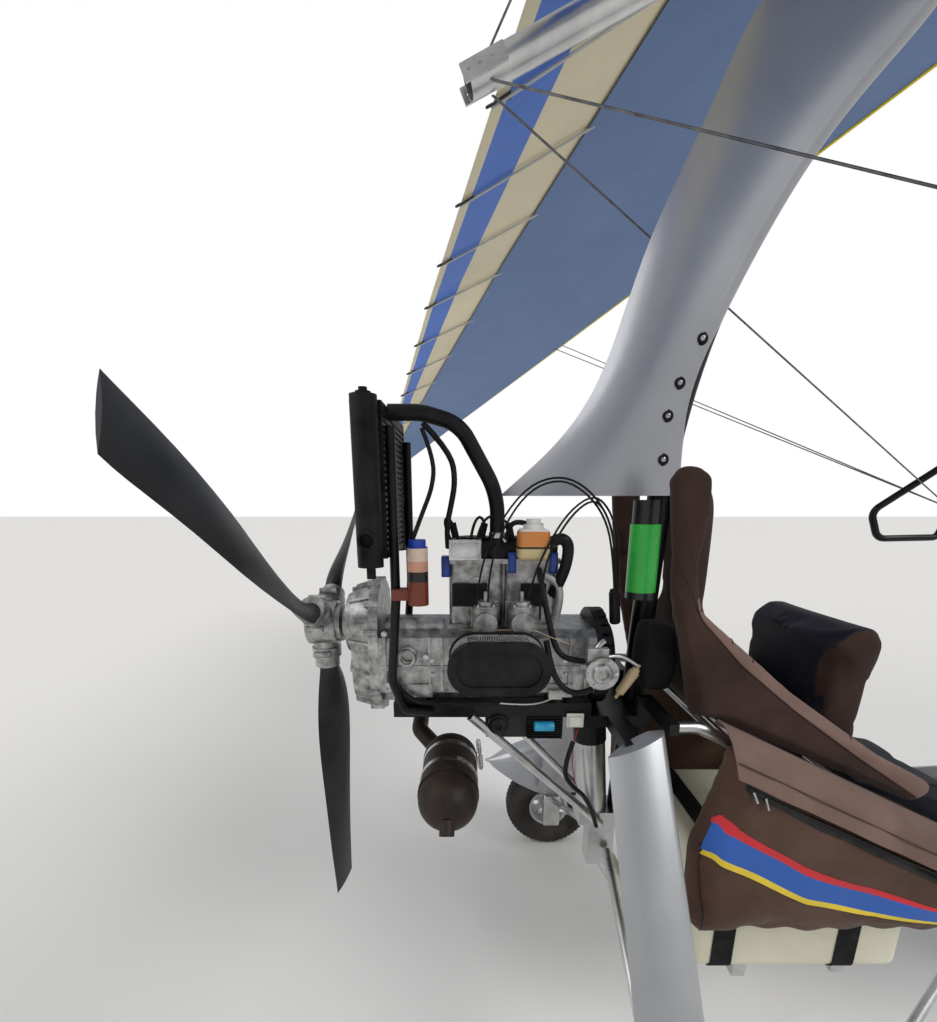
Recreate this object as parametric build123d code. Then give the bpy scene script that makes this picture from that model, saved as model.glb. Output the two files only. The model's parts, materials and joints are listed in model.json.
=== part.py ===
from build123d import *
import math
import os

# Microlight aircraft: a two-seat flexwing trike, parked on its three wheels with its wing on.
# Millimetres. X points to starboard, Y forward, Z up, and the ground is at Z 0.
# Lengths along Y are measured from a station over the rear of the cylinders. At the end every
# piece is moved along Y so that the origin lies under the middle of the whole box.

# Clearances
SEAT_GAP = 0.3
RUNNING_GAP = 0.05

# Main wheels and undercarriage
TRACK_HALF = 875
MAIN_AXLE_Y = 388
MAIN_TYRE_D = 404
MAIN_TYRE_W = 120
MAIN_RIM_D = 170
AXLE_R = 12.5
LEG_TOP = (250, 376, 1140)
LEG_FOOT = (TRACK_HALF - 97, MAIN_AXLE_Y, 318)
LEG_CHORD = 132
LEG_THICKNESS = 44
LEG_SLANT = 21
KNUCKLE_X = (TRACK_HALF - 137, TRACK_HALF - 93)
KNUCKLE_Y = (350, 426)
KNUCKLE_Z = (165, 322)
STRUT_R = 12
TYRE_WALL = 10
BEAD_HEIGHT = 10
RIM_WALL = 4
COVER_HALF = 72
# Cover over each main wheel: station along Y, half width, bottom and top
COVER_STATIONS = (
    (82, 6, 428, 438),
    (150, 38, 340, 472),
    (240, 68, 250, 518),
    (340, COVER_HALF, 240, 546),
    (440, COVER_HALF, 240, 548),
    (530, 70, 244, 510),
    (590, 46, 270, 452),
    (612, 18, 310, 400),
)
COVER_EDGE = ((60, 440), (177, 375), (234, 346), (326, 302), (640, 302))
COVER_WALL = 3.5
WHEEL_CLEARANCE = 14
COVER_PIN_Y = (366, 410)
COVER_PIN_Z = 312
COVER_PIN_R = 6

# Nose wheel and steering
NOSE_TYRE_D = 360
NOSE_TYRE_W = 100
NOSE_RIM_D = 150
NOSE_WHEEL_Y = 2150
NOSE_AXLE_R = 10
HEAD_POINT = (0, 2050, 456)
HEAD_RAKE = 15
HEAD_R = 24
HEAD_HALF = 52
STEM_R = 15
FORK_LEG_X = 80
FORK_LEG_R = 14
CROWN_DROP = 76
PEG_REACH = 290

# Keel and mast
KEEL_TUBE_R = 30
KEEL_TUBE_WALL = 3
KEEL_TOP = (0, 388, 640)
KEEL_BEND = (0, 540, 380)
KEEL_BEND_R = 150
MAST_R = 30
MAST_WALL = 4
MAST_FOOT = (0, 436, 770)
MAST_KNEE = (0, 500, 2066)
MAST_BEND_R = 1450
ENGINE_POST_FOOT = (0, 361, 770)
ENGINE_POST_TOP = (0, 342.6, 993)
ENGINE_POST_R = 43
ENGINE_POST_WALL = 5
SOCKET_R = 46
SOCKET_LENGTH = 92
CUP_HALF = 44
CUP_Y = (316, 472)
CUP_Z = (742, 782)
POST_HALF = 30
POST_Y = (350, 424)
POST_Z = 600

# Hang point and wing
HANG_BOLT = (0, 1065, 2893)
HANG_BOLT_R = 8
HEAD_PLATE_HALF = 30
WING_NOSE_UP = 24.45
KEEL_AFT_END = 2720
HANG_AFT = 1584
HANG_DROP = 78
WING_KEEL_R = 30

# Wing frame and rigging, in wing coordinates
HANG_LUG_HALF = 18
APEX_AFT = 1420
UPRIGHT_TOP = (24, APEX_AFT, -46)
UPRIGHT_R = 14
BAR_CORNER = (750, 1324, -1594)
LOOP_R = 13
KINGPOST_AFT = 1500
KINGPOST_HEIGHT = 900
KINGPOST_R = 16
POCKET_AFT = (300, 1330)
STAY_R = 2.5
SIDE_STAY_X = 2700
SIDE_STAY_AFT = 1985
SAIL_NOSE_DEPTH = 44
TANG_LENGTH = 96
TANG_HALF = 17
TANG_HOLE_R = 4

# Engine, in rows of cylinders along Y
CRANK_Z = 1243
PROP_Z = 1332
PROP_PLANE_Y = -383
GEAR_LOW_Z = 1215
GEAR_JOINT_Y = -222
GEAR_R = 121
GEAR_FLANGE = 24
GEAR_BOWL = 48
GEAR_DOME = 66
GEAR_TAPER = 16
GEAR_RIBS = 12
GEAR_BOSS_R = 9
CASE_END_Y = 316
ENGINE_FOOT_Z = 1166
ENGINE_FEET_Y = (-120, 230)
CYLINDER_Y = (18, 156)
CYLINDER_HALF = 66
CYLINDER_SIDE_X = 76
CASE_TOP_Z = 1334
HEAD_JOINT_Z = 1508
HEAD_TOP_Z = 1548
PLUG_OFFSET = (-46, 10)
CARB_Y = (40, 124)
CARB_Z = 1372
CARB_R = 26
FILTER_X = (190.3, 298)
FILTER_SIZE = (220, 114)
FILTER_CENTRE = (65, 1298)
FILTER_PLEATS = 26
FAN_R = 128
FAN_SLOTS = 28
CAN_R = 66
CAN_WALL = 3
CAN_CENTRE = (-45, 1008)
RAIL_X = 95
RAIL_W = 40
RAIL_Z = (1110, 1148)
RAIL_Y = (-190, 312)
BEAM_Z = (1082, 1113)
OUTRIGGER_Y = (446, 468)
OUTRIGGER_Z = (1136, 1164)
EAR_R = 18

# Radiator
RADIATOR_FACE_Y = -180
RADIATOR_X = 182
RADIATOR_Z = (1520, 1846)
RADIATOR_TANK_R = 28
RADIATOR_FINS = 22
FRAME_TUBE_R = 11
FRAME_TUBE_Y = RADIATOR_FACE_Y + FRAME_TUBE_R + SEAT_GAP
HOSE_R = 18

# Seats and tank
SEAT_RUN = ((515, 1150), (1230, 806))
CROSS_TUBE_Y = (572, 660, 800, 905, 1010, 1180)
CROSS_TUBE_R = 11
POD_FLOOR = 500
SEAT_SIDE_X = (195, 240)
SEAT_TUBE_X = 256
SEAT_TUBE_R = 14
PANNIER_X = (270.3, 345)
TANK_HALF = 235
TANK_WALL = 6
TANK_Y = (580, 1130)
TANK_Z = (446, 770)


# Shared shapes

def rod(start, end, radius, wall=0):
    """Straight round bar or tube between two points."""
    run = Vector(*end) - Vector(*start)
    place = Plane(origin=start, z_dir=run)
    low = (Align.CENTER, Align.CENTER, Align.MIN)
    bar = place * Cylinder(radius, run.length, align=low)
    if wall:
        bar -= place * Cylinder(radius - wall, run.length, align=low)
    return bar


def bent_rod(points, bend_radius, radius, wall=0):
    """Round bar or tube along straight runs joined by arcs."""
    path = FilletPolyline(*points, radius=bend_radius)
    ring = Circle(radius) - Circle(radius - wall) if wall else Circle(radius)
    return sweep(Plane(origin=path @ 0, z_dir=path % 0) * ring, path=path)


def block(x, y, z, soften=0):
    """Box between pairs of limits, its edges rounded where asked."""
    box = Pos(sum(x) / 2, sum(y) / 2, sum(z) / 2) * Box(x[1] - x[0], y[1] - y[0], z[1] - z[0])
    return fillet(box.edges(), soften) if soften else box


def slab(outline, x_from, x_to, soften=0):
    """Side-view outline of (y, z) points made solid between two stations across the aircraft."""
    face = Plane.YZ.offset(x_from) * make_face(Polyline(*outline, close=True))
    solid = extrude(face, amount=x_to - x_from)
    return fillet(solid.edges(), soften) if soften else solid


def both_sides(shape):
    return shape + mirror(shape, about=Plane.YZ)


def hoop_loft(stations, inset=0, ruled=True):
    """Body through rounded hoops, one for each station: place along Y, half width, bottom and top."""
    hoops = []
    for y, half, low, high in stations:
        w, h = 2 * (half - inset), high - low - 2 * inset
        place = Plane(origin=(0, y, (low + high) / 2), x_dir=(-1, 0, 0), z_dir=(0, 1, 0))
        hoops.append(place * RectangleRounded(w, h, min(w, h) * 0.42))
    return loft(hoops, ruled=ruled)


def foil(chord, thickness):
    """Streamlined section: leading edge at local x 0, tail at -chord, drawn with arcs."""
    nose_r = thickness * 0.42
    tail = 1.5
    upper = ThreePointArc((-nose_r, nose_r), (-chord * 0.38, thickness / 2), (-chord, tail))
    lower = ThreePointArc((-chord, -tail), (-chord * 0.38, -thickness / 2), (-nose_r, -nose_r))
    nose = ThreePointArc((-nose_r, -nose_r), (0, 0), (-nose_r, nose_r))
    return make_face([upper, Line((-chord, tail), (-chord, -tail)), lower, nose])


# Wheels

def tyre(diameter, width, rim_d):
    """Hollow tyre turning about X, its beads open to the rim."""
    top, rim, half = diameter / 2, rim_d / 2, width / 2
    bead, tread = width * 0.36, width * 0.34
    shoulder = top - width * 0.08

    def ring(inset):
        low = rim + BEAD_HEIGHT
        side = (low + shoulder) / 2
        crown = inset * 1.2
        left = ThreePointArc((-bead + inset, low), (-half + inset, side), (-tread, shoulder - crown))
        tread_arc = ThreePointArc((-tread, shoulder - crown), (0, top - crown), (tread, shoulder - crown))
        right = ThreePointArc((tread, shoulder - crown), (half - inset, side), (bead - inset, low))
        floor = rim - (1 if inset else 0)
        base = Polyline((bead - inset, low), (bead - inset, floor), (-bead + inset, floor), (-bead + inset, low))
        return make_face([left, tread_arc, right, base])

    return revolve(ring(0) - ring(TYRE_WALL), axis=Axis.X)


def rim(width, rim_d, bore_r, holes, hole_r):
    """Cast rim turning about X: barrel, two flanges, pierced web and hub."""
    r, bead, hub_half, hub_r = rim_d / 2 - SEAT_GAP, width * 0.36, width / 2 - 5, bore_r + 18
    flange_in = bead + SEAT_GAP

    def band(x_from, x_to, r_from, r_to):
        return Pos((x_from + x_to) / 2, (r_from + r_to) / 2) * Rectangle(x_to - x_from, r_to - r_from)

    section = band(-bead - 5, bead + 5, r - RIM_WALL, r)
    section += band(flange_in, flange_in + 5, r - RIM_WALL, r + BEAD_HEIGHT - 2)
    section += band(-flange_in - 5, -flange_in, r - RIM_WALL, r + BEAD_HEIGHT - 2)
    section += band(-5, 5, hub_r - 1, r - RIM_WALL + 1)
    section += band(-hub_half, hub_half, bore_r, hub_r)
    body = revolve(section, axis=Axis.X)
    ring_r = (hub_r + r - RIM_WALL) / 2
    for turn in range(holes):
        angle = math.tau * turn / holes
        centre = (-20, ring_r * math.cos(angle), ring_r * math.sin(angle))
        body -= Plane(origin=centre, z_dir=(1, 0, 0)) * Cylinder(hole_r, 40, align=(Align.CENTER, Align.CENTER, Align.MIN))
    return body


# Wing coordinates: across, aft of the nose along the keel, and up from the keel plane
TILT = math.radians(WING_NOSE_UP)
WING_FORWARD = Vector(0, math.cos(TILT), math.sin(TILT))
WING_UP = Vector(0, -math.sin(TILT), math.cos(TILT))
WING_NOSE = Vector(*HANG_BOLT) + WING_FORWARD * HANG_AFT + WING_UP * HANG_DROP


def wing_point(across, aft, up):
    return WING_NOSE + Vector(across, 0, 0) - WING_FORWARD * aft + WING_UP * up


def wing_rod(start, end, radius, wall=0):
    return rod(wing_point(*start), wing_point(*end), radius, wall)


def keel_height(y):
    """Height of the trike keel's centre line at a station along Y."""
    slope = (HEAD_POINT[2] - KEEL_BEND[2]) / (HEAD_POINT[1] - KEEL_BEND[1])
    return KEEL_BEND[2] + slope * (y - KEEL_BEND[1])


def make_wheels():
    nodes = {}
    for side, name in ((-1, "left"), (1, "right")):
        place = Pos(side * TRACK_HALF, MAIN_AXLE_Y, MAIN_TYRE_D / 2)
        nodes[f"tyre_{name}"] = place * tyre(MAIN_TYRE_D, MAIN_TYRE_W, MAIN_RIM_D)
        nodes[f"rim_{name}"] = place * rim(MAIN_TYRE_W, MAIN_RIM_D, AXLE_R + RUNNING_GAP, 6, 14)
    place = Pos(0, NOSE_WHEEL_Y, NOSE_TYRE_D / 2)
    nodes["nose_tyre"] = place * tyre(NOSE_TYRE_D, NOSE_TYRE_W, NOSE_RIM_D)
    nodes["nose_rim"] = place * rim(NOSE_TYRE_W, NOSE_RIM_D, NOSE_AXLE_R + RUNNING_GAP, 5, 12)
    return nodes


# Undercarriage

def leg_shape(grow=0):
    run = Vector(*LEG_FOOT) - Vector(*LEG_TOP)
    place = Plane(origin=LEG_TOP, x_dir=(0, 1, 0), z_dir=run)
    section = Pos(LEG_CHORD / 2 + grow, 0) * foil(LEG_CHORD + 2 * grow, LEG_THICKNESS + 2 * grow)
    leg = extrude(place * section, amount=run.length)
    top = Pos(LEG_TOP[0], LEG_TOP[1] + LEG_CHORD / 2, LEG_TOP[2]) * Rot(LEG_SLANT, 0, 0)
    return leg - top * Box(300, 3 * LEG_CHORD, 200, align=(Align.CENTER, Align.CENTER, Align.MIN))


def make_undercarriage():
    knuckle = block(KNUCKLE_X, KNUCKLE_Y, KNUCKLE_Z, 8)
    axle_z = MAIN_TYRE_D / 2
    hub_half = MAIN_TYRE_W / 2 - 5
    tip = TRACK_HALF + hub_half + 24
    axle = knuckle + rod((KNUCKLE_X[0] + 10, MAIN_AXLE_Y, axle_z), (tip, MAIN_AXLE_Y, axle_z), AXLE_R)
    spacer_end = TRACK_HALF - hub_half - SEAT_GAP
    axle += rod((KNUCKLE_X[1] - 5, MAIN_AXLE_Y, axle_z), (spacer_end, MAIN_AXLE_Y, axle_z), AXLE_R + 7)
    nut = TRACK_HALF + hub_half + SEAT_GAP
    axle += rod((nut, MAIN_AXLE_Y, axle_z), (nut + 14, MAIN_AXLE_Y, axle_z), AXLE_R + 7)
    for y in COVER_PIN_Y:
        axle += rod((KNUCKLE_X[1] - 4, y, COVER_PIN_Z), (TRACK_HALF - COVER_HALF - SEAT_GAP, y, COVER_PIN_Z),
                    COVER_PIN_R)
    post_x = POST_HALF + STRUT_R + SEAT_GAP
    axle += rod((post_x, 400, 660), (KNUCKLE_X[0] + 8, MAIN_AXLE_Y, 300), STRUT_R)
    inner_x = KEEL_TUBE_R + STRUT_R + SEAT_GAP
    axle += rod((inner_x, 1550, keel_height(1550)), (KNUCKLE_X[0] + 20, KNUCKLE_Y[1] - 12, 240), STRUT_R)
    gap = block([KNUCKLE_X[0] - SEAT_GAP, KNUCKLE_X[1] + 200],
                [KNUCKLE_Y[0] - 60, KNUCKLE_Y[1] + 60], [0, KNUCKLE_Z[1] + SEAT_GAP])
    leg = leg_shape() - gap
    below = slab([*COVER_EDGE, (640, 100), (60, 100)], TRACK_HALF - 2 * COVER_HALF, TRACK_HALF + 2 * COVER_HALF)
    well_half = MAIN_TYRE_W / 2 + 5.5
    well = rod((TRACK_HALF - well_half, MAIN_AXLE_Y, axle_z), (TRACK_HALF + well_half, MAIN_AXLE_Y, axle_z),
               axle_z + WHEEL_CLEARANCE)
    hollow = hoop_loft(COVER_STATIONS[1:-1], COVER_WALL, False)
    cover = Pos(TRACK_HALF, 0, 0) * (hoop_loft(COVER_STATIONS, 0, False) - hollow) - well - below
    return {"leg_right": leg, "leg_left": mirror(leg, about=Plane.YZ),
            "axle_right": axle, "axle_left": mirror(axle, about=Plane.YZ),
            "wheel_cover_right": cover, "wheel_cover_left": mirror(cover, about=Plane.YZ)}


# Keel, mast, engine mount and seat frame

def mast_path():
    slope = Vector(*HANG_BOLT) - Vector(*MAST_KNEE)
    top = Vector(*HANG_BOLT) - slope.normalized() * 46
    return [MAST_FOOT, MAST_KNEE, top]


def make_frame():
    keel = bent_rod([KEEL_TOP, KEEL_BEND, HEAD_POINT], KEEL_BEND_R, KEEL_TUBE_R, KEEL_TUBE_WALL)
    keel += block((-POST_HALF, POST_HALF), POST_Y, (POST_Z, CUP_Z[0] + 1))
    keel += block((-CUP_HALF, CUP_HALF), CUP_Y, CUP_Z)
    keel += rod(ENGINE_POST_FOOT, ENGINE_POST_TOP, ENGINE_POST_R, ENGINE_POST_WALL)
    axis = Vector(0, -math.sin(math.radians(HEAD_RAKE)), math.cos(math.radians(HEAD_RAKE)))
    low = Vector(*HEAD_POINT) - axis * HEAD_HALF
    high = Vector(*HEAD_POINT) + axis * HEAD_HALF
    head = rod(low, high, HEAD_R)
    bore = rod(low, high, STEM_R + RUNNING_GAP)
    keel = keel + head
    for y in (740, 1010):
        keel += block((-TANK_HALF + 40, TANK_HALF - 40), (y - 18, y + 18),
                      (keel_height(y) - 12, TANK_Z[0] - SEAT_GAP))
    for y in (1620, 1860):
        keel += block((-60, 60), (y - 15, y + 15), (keel_height(y), POD_FLOOR - SEAT_GAP))
    keel -= bore

    mast = bent_rod(mast_path(), MAST_BEND_R, MAST_R, MAST_WALL)
    mast -= block((-100, 100), (300, 600), (0, CUP_Z[1] + SEAT_GAP))
    direction = (Vector(*HANG_BOLT) - Vector(*MAST_KNEE)).normalized()
    plug = Vector(*HANG_BOLT) - direction * 80
    cap = Vector(*HANG_BOLT) - direction * 38
    mast += rod(plug, cap, MAST_R)
    ear_in = HANG_LUG_HALF + SEAT_GAP
    for x in ((ear_in, HEAD_PLATE_HALF), (-HEAD_PLATE_HALF, -ear_in)):
        ear = rod((x[0], HANG_BOLT[1], HANG_BOLT[2]), (x[1], HANG_BOLT[1], HANG_BOLT[2]), EAR_R)
        foot = Vector(*HANG_BOLT) - direction * 50
        shank = rod((x[0], foot.Y, foot.Z), (x[1], foot.Y, foot.Z), EAR_R)
        web_place = Plane(origin=(x[0], *(foot.Y, foot.Z)), x_dir=direction, z_dir=(1, 0, 0))
        web = extrude(web_place * (Pos(25, 0) * Rectangle(50, 2 * EAR_R)), amount=x[1] - x[0])
        mast += ear + web + shank
    bolt_half = HEAD_PLATE_HALF + 12
    mast += rod((-bolt_half, *HANG_BOLT[1:]), (bolt_half, *HANG_BOLT[1:]), HANG_BOLT_R)

    rails = both_sides(block((RAIL_X - RAIL_W / 2, RAIL_X + RAIL_W / 2), RAIL_Y, RAIL_Z))
    mount = rails
    for y in (-150, 130):
        mount += block((-RAIL_X, RAIL_X), (y - 15, y + 15), (RAIL_Z[0], RAIL_Z[0] + 20))
    mast_y = mast_centre(sum(BEAM_Z) / 2)[1]
    clamp_x = RAIL_X + RAIL_W / 2
    mount += block((-clamp_x, clamp_x), (RAIL_Y[1] - 24, OUTRIGGER_Y[1]), BEAM_Z)
    mount += both_sides(block((RAIL_X - RAIL_W / 2, clamp_x), (RAIL_Y[1] - 24, RAIL_Y[1]), (BEAM_Z[0], RAIL_Z[1])))
    mount += block((-60, 60), (mast_y - MAST_R, mast_y + MAST_R + 18), BEAM_Z)
    mount += both_sides(block((60, LEG_TOP[0] + 16), (LEG_TOP[1] - 22, LEG_TOP[1] + 24), BEAM_Z))
    mount += both_sides(block((clamp_x - 20, clamp_x), (OUTRIGGER_Y[0] - 16, OUTRIGGER_Y[1]),
                              (BEAM_Z[0], OUTRIGGER_Z[1])))
    mount += both_sides(block((clamp_x - 20, SEAT_TUBE_X + 16), OUTRIGGER_Y, OUTRIGGER_Z))
    post_top = Vector(*ENGINE_POST_TOP)
    post_run = (post_top - Vector(*ENGINE_POST_FOOT)).normalized()
    mount += rod(post_top + post_run * SEAT_GAP, post_top + post_run * SOCKET_LENGTH, SOCKET_R)
    mount -= bent_rod(mast_path(), MAST_BEND_R, MAST_R + SEAT_GAP)
    mount -= both_sides(leg_shape(SEAT_GAP))
    for x in (-RAIL_X, RAIL_X):
        for y in (-120, 230):
            mount += rod((x, y, RAIL_Z[1] - 1), (x, y, ENGINE_FOOT_Z - SEAT_GAP), 20)

    inner_x = KEEL_TUBE_R + STRUT_R + SEAT_GAP
    strut_top = (RAIL_X + RAIL_W / 2 + STRUT_R + 3, 5, RAIL_Z[0] + 10)
    strut_foot = (CUP_HALF + STRUT_R + 3 * SEAT_GAP, 372, 758)
    struts = both_sides(rod(strut_top, strut_foot, STRUT_R, 2))

    foot_y = 1440
    side = bent_rod([(SEAT_TUBE_X, OUTRIGGER_Y[1] + SEAT_GAP, 1150), (SEAT_TUBE_X, *SEAT_RUN[0]),
                     (SEAT_TUBE_X, *SEAT_RUN[1]), (inner_x, foot_y, keel_height(foot_y))], [60, 80], SEAT_TUBE_R)
    seat = both_sides(side)
    for y in CROSS_TUBE_Y:
        seat += rod((-SEAT_TUBE_X, y, seat_tube_z(y)), (SEAT_TUBE_X, y, seat_tube_z(y)), CROSS_TUBE_R)
    return {"keel_beam": keel, "mast": mast, "engine_mount": mount, "rear_struts": struts, "seat_frame": seat}


def seat_tube_z(y):
    """Height of the sloping side tubes of the seat frame."""
    (back_y, back_z), (front_y, front_z) = SEAT_RUN
    return back_z + (front_z - back_z) * (y - back_y) / (front_y - back_y)


def seat_line(y):
    """Height of a cushion's underside on the cross tubes."""
    return seat_tube_z(y) + CROSS_TUBE_R * 1.11 + SEAT_GAP


def mast_centre(z):
    """Point on the straight lower run of the mast."""
    share = (z - MAST_FOOT[2]) / (MAST_KNEE[2] - MAST_FOOT[2])
    return (0, MAST_FOOT[1] + share * (MAST_KNEE[1] - MAST_FOOT[1]), z)


# Mast fairing: height, leading edge and trailing edge along Y
FAIRING_STATIONS = (
    (1657, 518, 79),
    (1790, 522, 222),
    (1900, 536, 298),
    (2010, 570, 342),
    (2211, 660, 406),
    (2420, 786, 498),
    (2700, 974, 684),
)
FAIRING_THICKNESS = 92


def make_fairing():
    sections = []
    for z, front, back in FAIRING_STATIONS:
        place = Plane(origin=(0, front, z), x_dir=(0, 1, 0), z_dir=(0, 0, 1))
        sections.append(place * foil(front - back, FAIRING_THICKNESS))
    cover = loft(sections)
    cover -= bent_rod(mast_path(), MAST_BEND_R, MAST_R + SEAT_GAP)
    return {"mast_fairing": cover}


# Seats, tank and side bags

def make_seats():
    nodes = {}
    side = [(402, 1690), (424, 1722), (460, 1722), (492, 1700), (498, 1640), (486, 1514), (520, 1420),
            (742, 1234), (1107, 981), (1107, 950), (1062, 926), (560, seat_line(560) + 0.5), (496, 1160),
            (440, 1400)]
    nodes["rear_seat_sides"] = both_sides(slab(side, *SEAT_SIDE_X, 8))
    width = SEAT_SIDE_X[0] - SEAT_GAP
    back = [(530, seat_line(572) + 3), (600, seat_line(572) + 3), (606, 1660), (590, 1700), (545, 1700), (530, 1680)]
    nodes["rear_seat_back"] = slab(back, -width, width, 8)
    base = [(610, seat_line(610)), (840, seat_line(840)), (840, 1090), (820, 1100), (610, 1150)]
    nodes["rear_seat_base"] = slab(base, -width, width, 8)
    front_back = [(856, seat_line(856)), (945, seat_line(945)), (975, 1330), (950, 1378), (900, 1378), (856, 1338)]
    nodes["front_seat_back"] = slab(front_back, -width + 4, width - 4, 8)
    front_base = [(960, seat_line(960)), (1215, seat_line(1215)), (1290, 850), (1290, 900), (962, 965)]
    nodes["front_seat_base"] = slab(front_base, -width + 4, width - 4, 8)
    bag = [(557, 1157), (1080, 880), (1328, 763), (1328, 680), (1200, 645), (520, 645), (482, 700), (477, 880)]
    nodes["pannier_right"] = slab(bag, *PANNIER_X, 12)
    nodes["pannier_left"] = mirror(nodes["pannier_right"], about=Plane.YZ)
    tunnel = block((-75, 75), (TANK_Y[0] - 60, 770), (TANK_Z[0] - 60, 530))
    tank = block((-TANK_HALF, TANK_HALF), TANK_Y, TANK_Z, 30) - tunnel
    hollow = block((-TANK_HALF + TANK_WALL, TANK_HALF - TANK_WALL), (TANK_Y[0] + TANK_WALL, TANK_Y[1] - TANK_WALL),
                   (530 + TANK_WALL, TANK_Z[1] - TANK_WALL), 25)
    nodes["fuel_tank"] = tank - hollow
    return nodes


# Pod: station, half width, bottom and top of each hoop
POD_STATIONS = (
    (1330, 285, POD_FLOOR, 900),
    (1500, 308, POD_FLOOR, 940),
    (1750, 330, POD_FLOOR, 990),
    (1980, 322, POD_FLOOR, 985),
    (2180, 282, 506, 935),
    (2340, 222, 524, 862),
    (2470, 150, 556, 786),
    (2550, 84, 596, 724),
    (2575, 46, 622, 698),
)
SCREEN_HALF = 230
SCREEN_Y = (1830, 2090)
SCREEN_Z = 880
SCREEN_RAKE = (0, -0.45, 0.89)
SCREEN_WALL = 4
POD_WALL = 8


def make_pod():
    shell = hoop_loft(POD_STATIONS) - hoop_loft(POD_STATIONS, POD_WALL)
    shell -= block((-600, 600), (1200, 1345), (300, 1300))
    shell -= block((-270, 270), (1200, 1560), (400, 1300))
    shell -= block((-600, 600), (1200, 1800), (720, 1300))
    shell -= block((-110, 110), (1960, 2340), (400, 620))
    panel = block((-330, 330), (1812, 1824), (760, 1040)) & hoop_loft(POD_STATIONS, POD_WALL + SEAT_GAP)
    edge, depth = SCREEN_HALF - SCREEN_WALL, SCREEN_Y[1] - SCREEN_WALL
    outer = ThreePointArc((-SCREEN_HALF, SCREEN_Y[0]), (0, SCREEN_Y[1]), (SCREEN_HALF, SCREEN_Y[0]))
    inner = ThreePointArc((-edge, SCREEN_Y[0]), (0, depth), (edge, SCREEN_Y[0]))
    ends = [Line((x, SCREEN_Y[0]), (math.copysign(edge, x), SCREEN_Y[0])) for x in (-SCREEN_HALF, SCREEN_HALF)]
    screen = extrude(Pos(0, 0, SCREEN_Z) * make_face([outer, inner, *ends]), amount=300, dir=SCREEN_RAKE)
    screen -= hoop_loft(POD_STATIONS, -SEAT_GAP)
    return {"pod": shell, "instrument_panel": panel, "windscreen": screen}


# Nose fork and its mudguard

def make_fork():
    rake = math.radians(HEAD_RAKE)
    axis = Vector(0, -math.sin(rake), math.cos(rake))
    head = Vector(*HEAD_POINT)
    crown = head - axis * CROWN_DROP
    stem_top = head + axis * (HEAD_HALF + 22)
    fork = rod(crown, stem_top, STEM_R)
    cap = head + axis * (HEAD_HALF + 6)
    fork += rod(cap, stem_top, STEM_R + 8)
    place = Plane(origin=crown, x_dir=(1, 0, 0), z_dir=axis)
    fork += place * Box(2 * FORK_LEG_X + 30, 46, 22)
    fork += place * Pos(0, 0, 14) * Cylinder(STEM_R + 8, 8)
    axle_z = NOSE_TYRE_D / 2
    for x in (-FORK_LEG_X, FORK_LEG_X):
        fork += rod((x, crown.Y, crown.Z), (x, NOSE_WHEEL_Y, axle_z), FORK_LEG_R)
        fork += rod((x - 14, NOSE_WHEEL_Y, axle_z), (x + 14, NOSE_WHEEL_Y, axle_z), 20)
        reach = math.copysign(PEG_REACH, x)
        fork += rod((x, crown.Y, crown.Z), (reach, crown.Y, crown.Z), 12)
    fork += rod((-FORK_LEG_X, NOSE_WHEEL_Y, axle_z), (FORK_LEG_X, NOSE_WHEEL_Y, axle_z), NOSE_AXLE_R)
    hub_half = NOSE_TYRE_W / 2 - 5
    for x in (-1, 1):
        fork += rod((x * (hub_half + SEAT_GAP), NOSE_WHEEL_Y, axle_z), (x * 70, NOSE_WHEEL_Y, axle_z), NOSE_AXLE_R + 5)
    fork -= rod((-FORK_LEG_X - 40, NOSE_WHEEL_Y, axle_z), (FORK_LEG_X + 40, NOSE_WHEEL_Y, axle_z), TOW_BORE_R)
    inner = NOSE_TYRE_D / 2 + 14
    centre = Plane(origin=(-52, NOSE_WHEEL_Y, axle_z), x_dir=(0, 1, 0), z_dir=(1, 0, 0))
    ring = make_face(Polyline((0, 0), (400, -60), (400, 400), (-330, 400), close=True))
    guard = extrude(centre * ((Circle(inner + 4) - Circle(inner)) & ring), amount=104)
    top_z = axle_z + inner
    guard += block((-16, 16), (crown.Y - 12, crown.Y + 60), (top_z - 30, crown.Z + 4)) \
        - rod((-60, NOSE_WHEEL_Y, axle_z), (60, NOSE_WHEEL_Y, axle_z), inner)
    guard -= fork
    return {"nose_fork": fork, "nose_mudguard": guard}


# Engine and what is bolted to it

def joined(shapes):
    """One shape from several that touch or stand apart."""
    first, *rest = shapes
    return first + rest


def make_crankcase():
    """Split case with ribs across it, four feet, a round port on each side and a gallery on top."""
    case = [(-112, 1176), (-68, 1170), (-60, 1134), (60, 1134), (68, 1170), (112, 1176), (118, 1250), (112, 1318),
            (84, CASE_TOP_Z), (-84, CASE_TOP_Z), (-112, 1318), (-118, 1250)]
    front = Plane(origin=(0, CASE_END_Y, 0), x_dir=(1, 0, 0), z_dir=(0, -1, 0))
    length = CASE_END_Y - GEAR_JOINT_Y - SEAT_GAP
    solid = extrude(front * make_face(Polyline(*case, close=True)), amount=length)
    ribs = [block((-122, 122), (y - 3, y + 3), (1184, 1322)) for y in (-206, -178, -96, -66, 250, 290)]
    feet = [block((x - 24, x + 24), (y - 30, y + 30), (ENGINE_FOOT_Z, 1200))
            for x in (-RAIL_X, RAIL_X) for y in ENGINE_FEET_Y]
    seam = block((-121, 121), (GEAR_JOINT_Y + 6, CASE_END_Y - 6), (CRANK_Z - 6, CRANK_Z + 6))
    gallery = rod((66, -208, 1340), (66, -60, 1340), 20)
    solid += ribs + feet + [seam, gallery]
    for side in (-1, 1):
        solid += rod((side * 100, -148, 1279), (side * 134, -148, 1279), 22)
        solid -= rod((side * 116, -148, 1279), (side * 140, -148, 1279), 15)
    return solid


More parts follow.
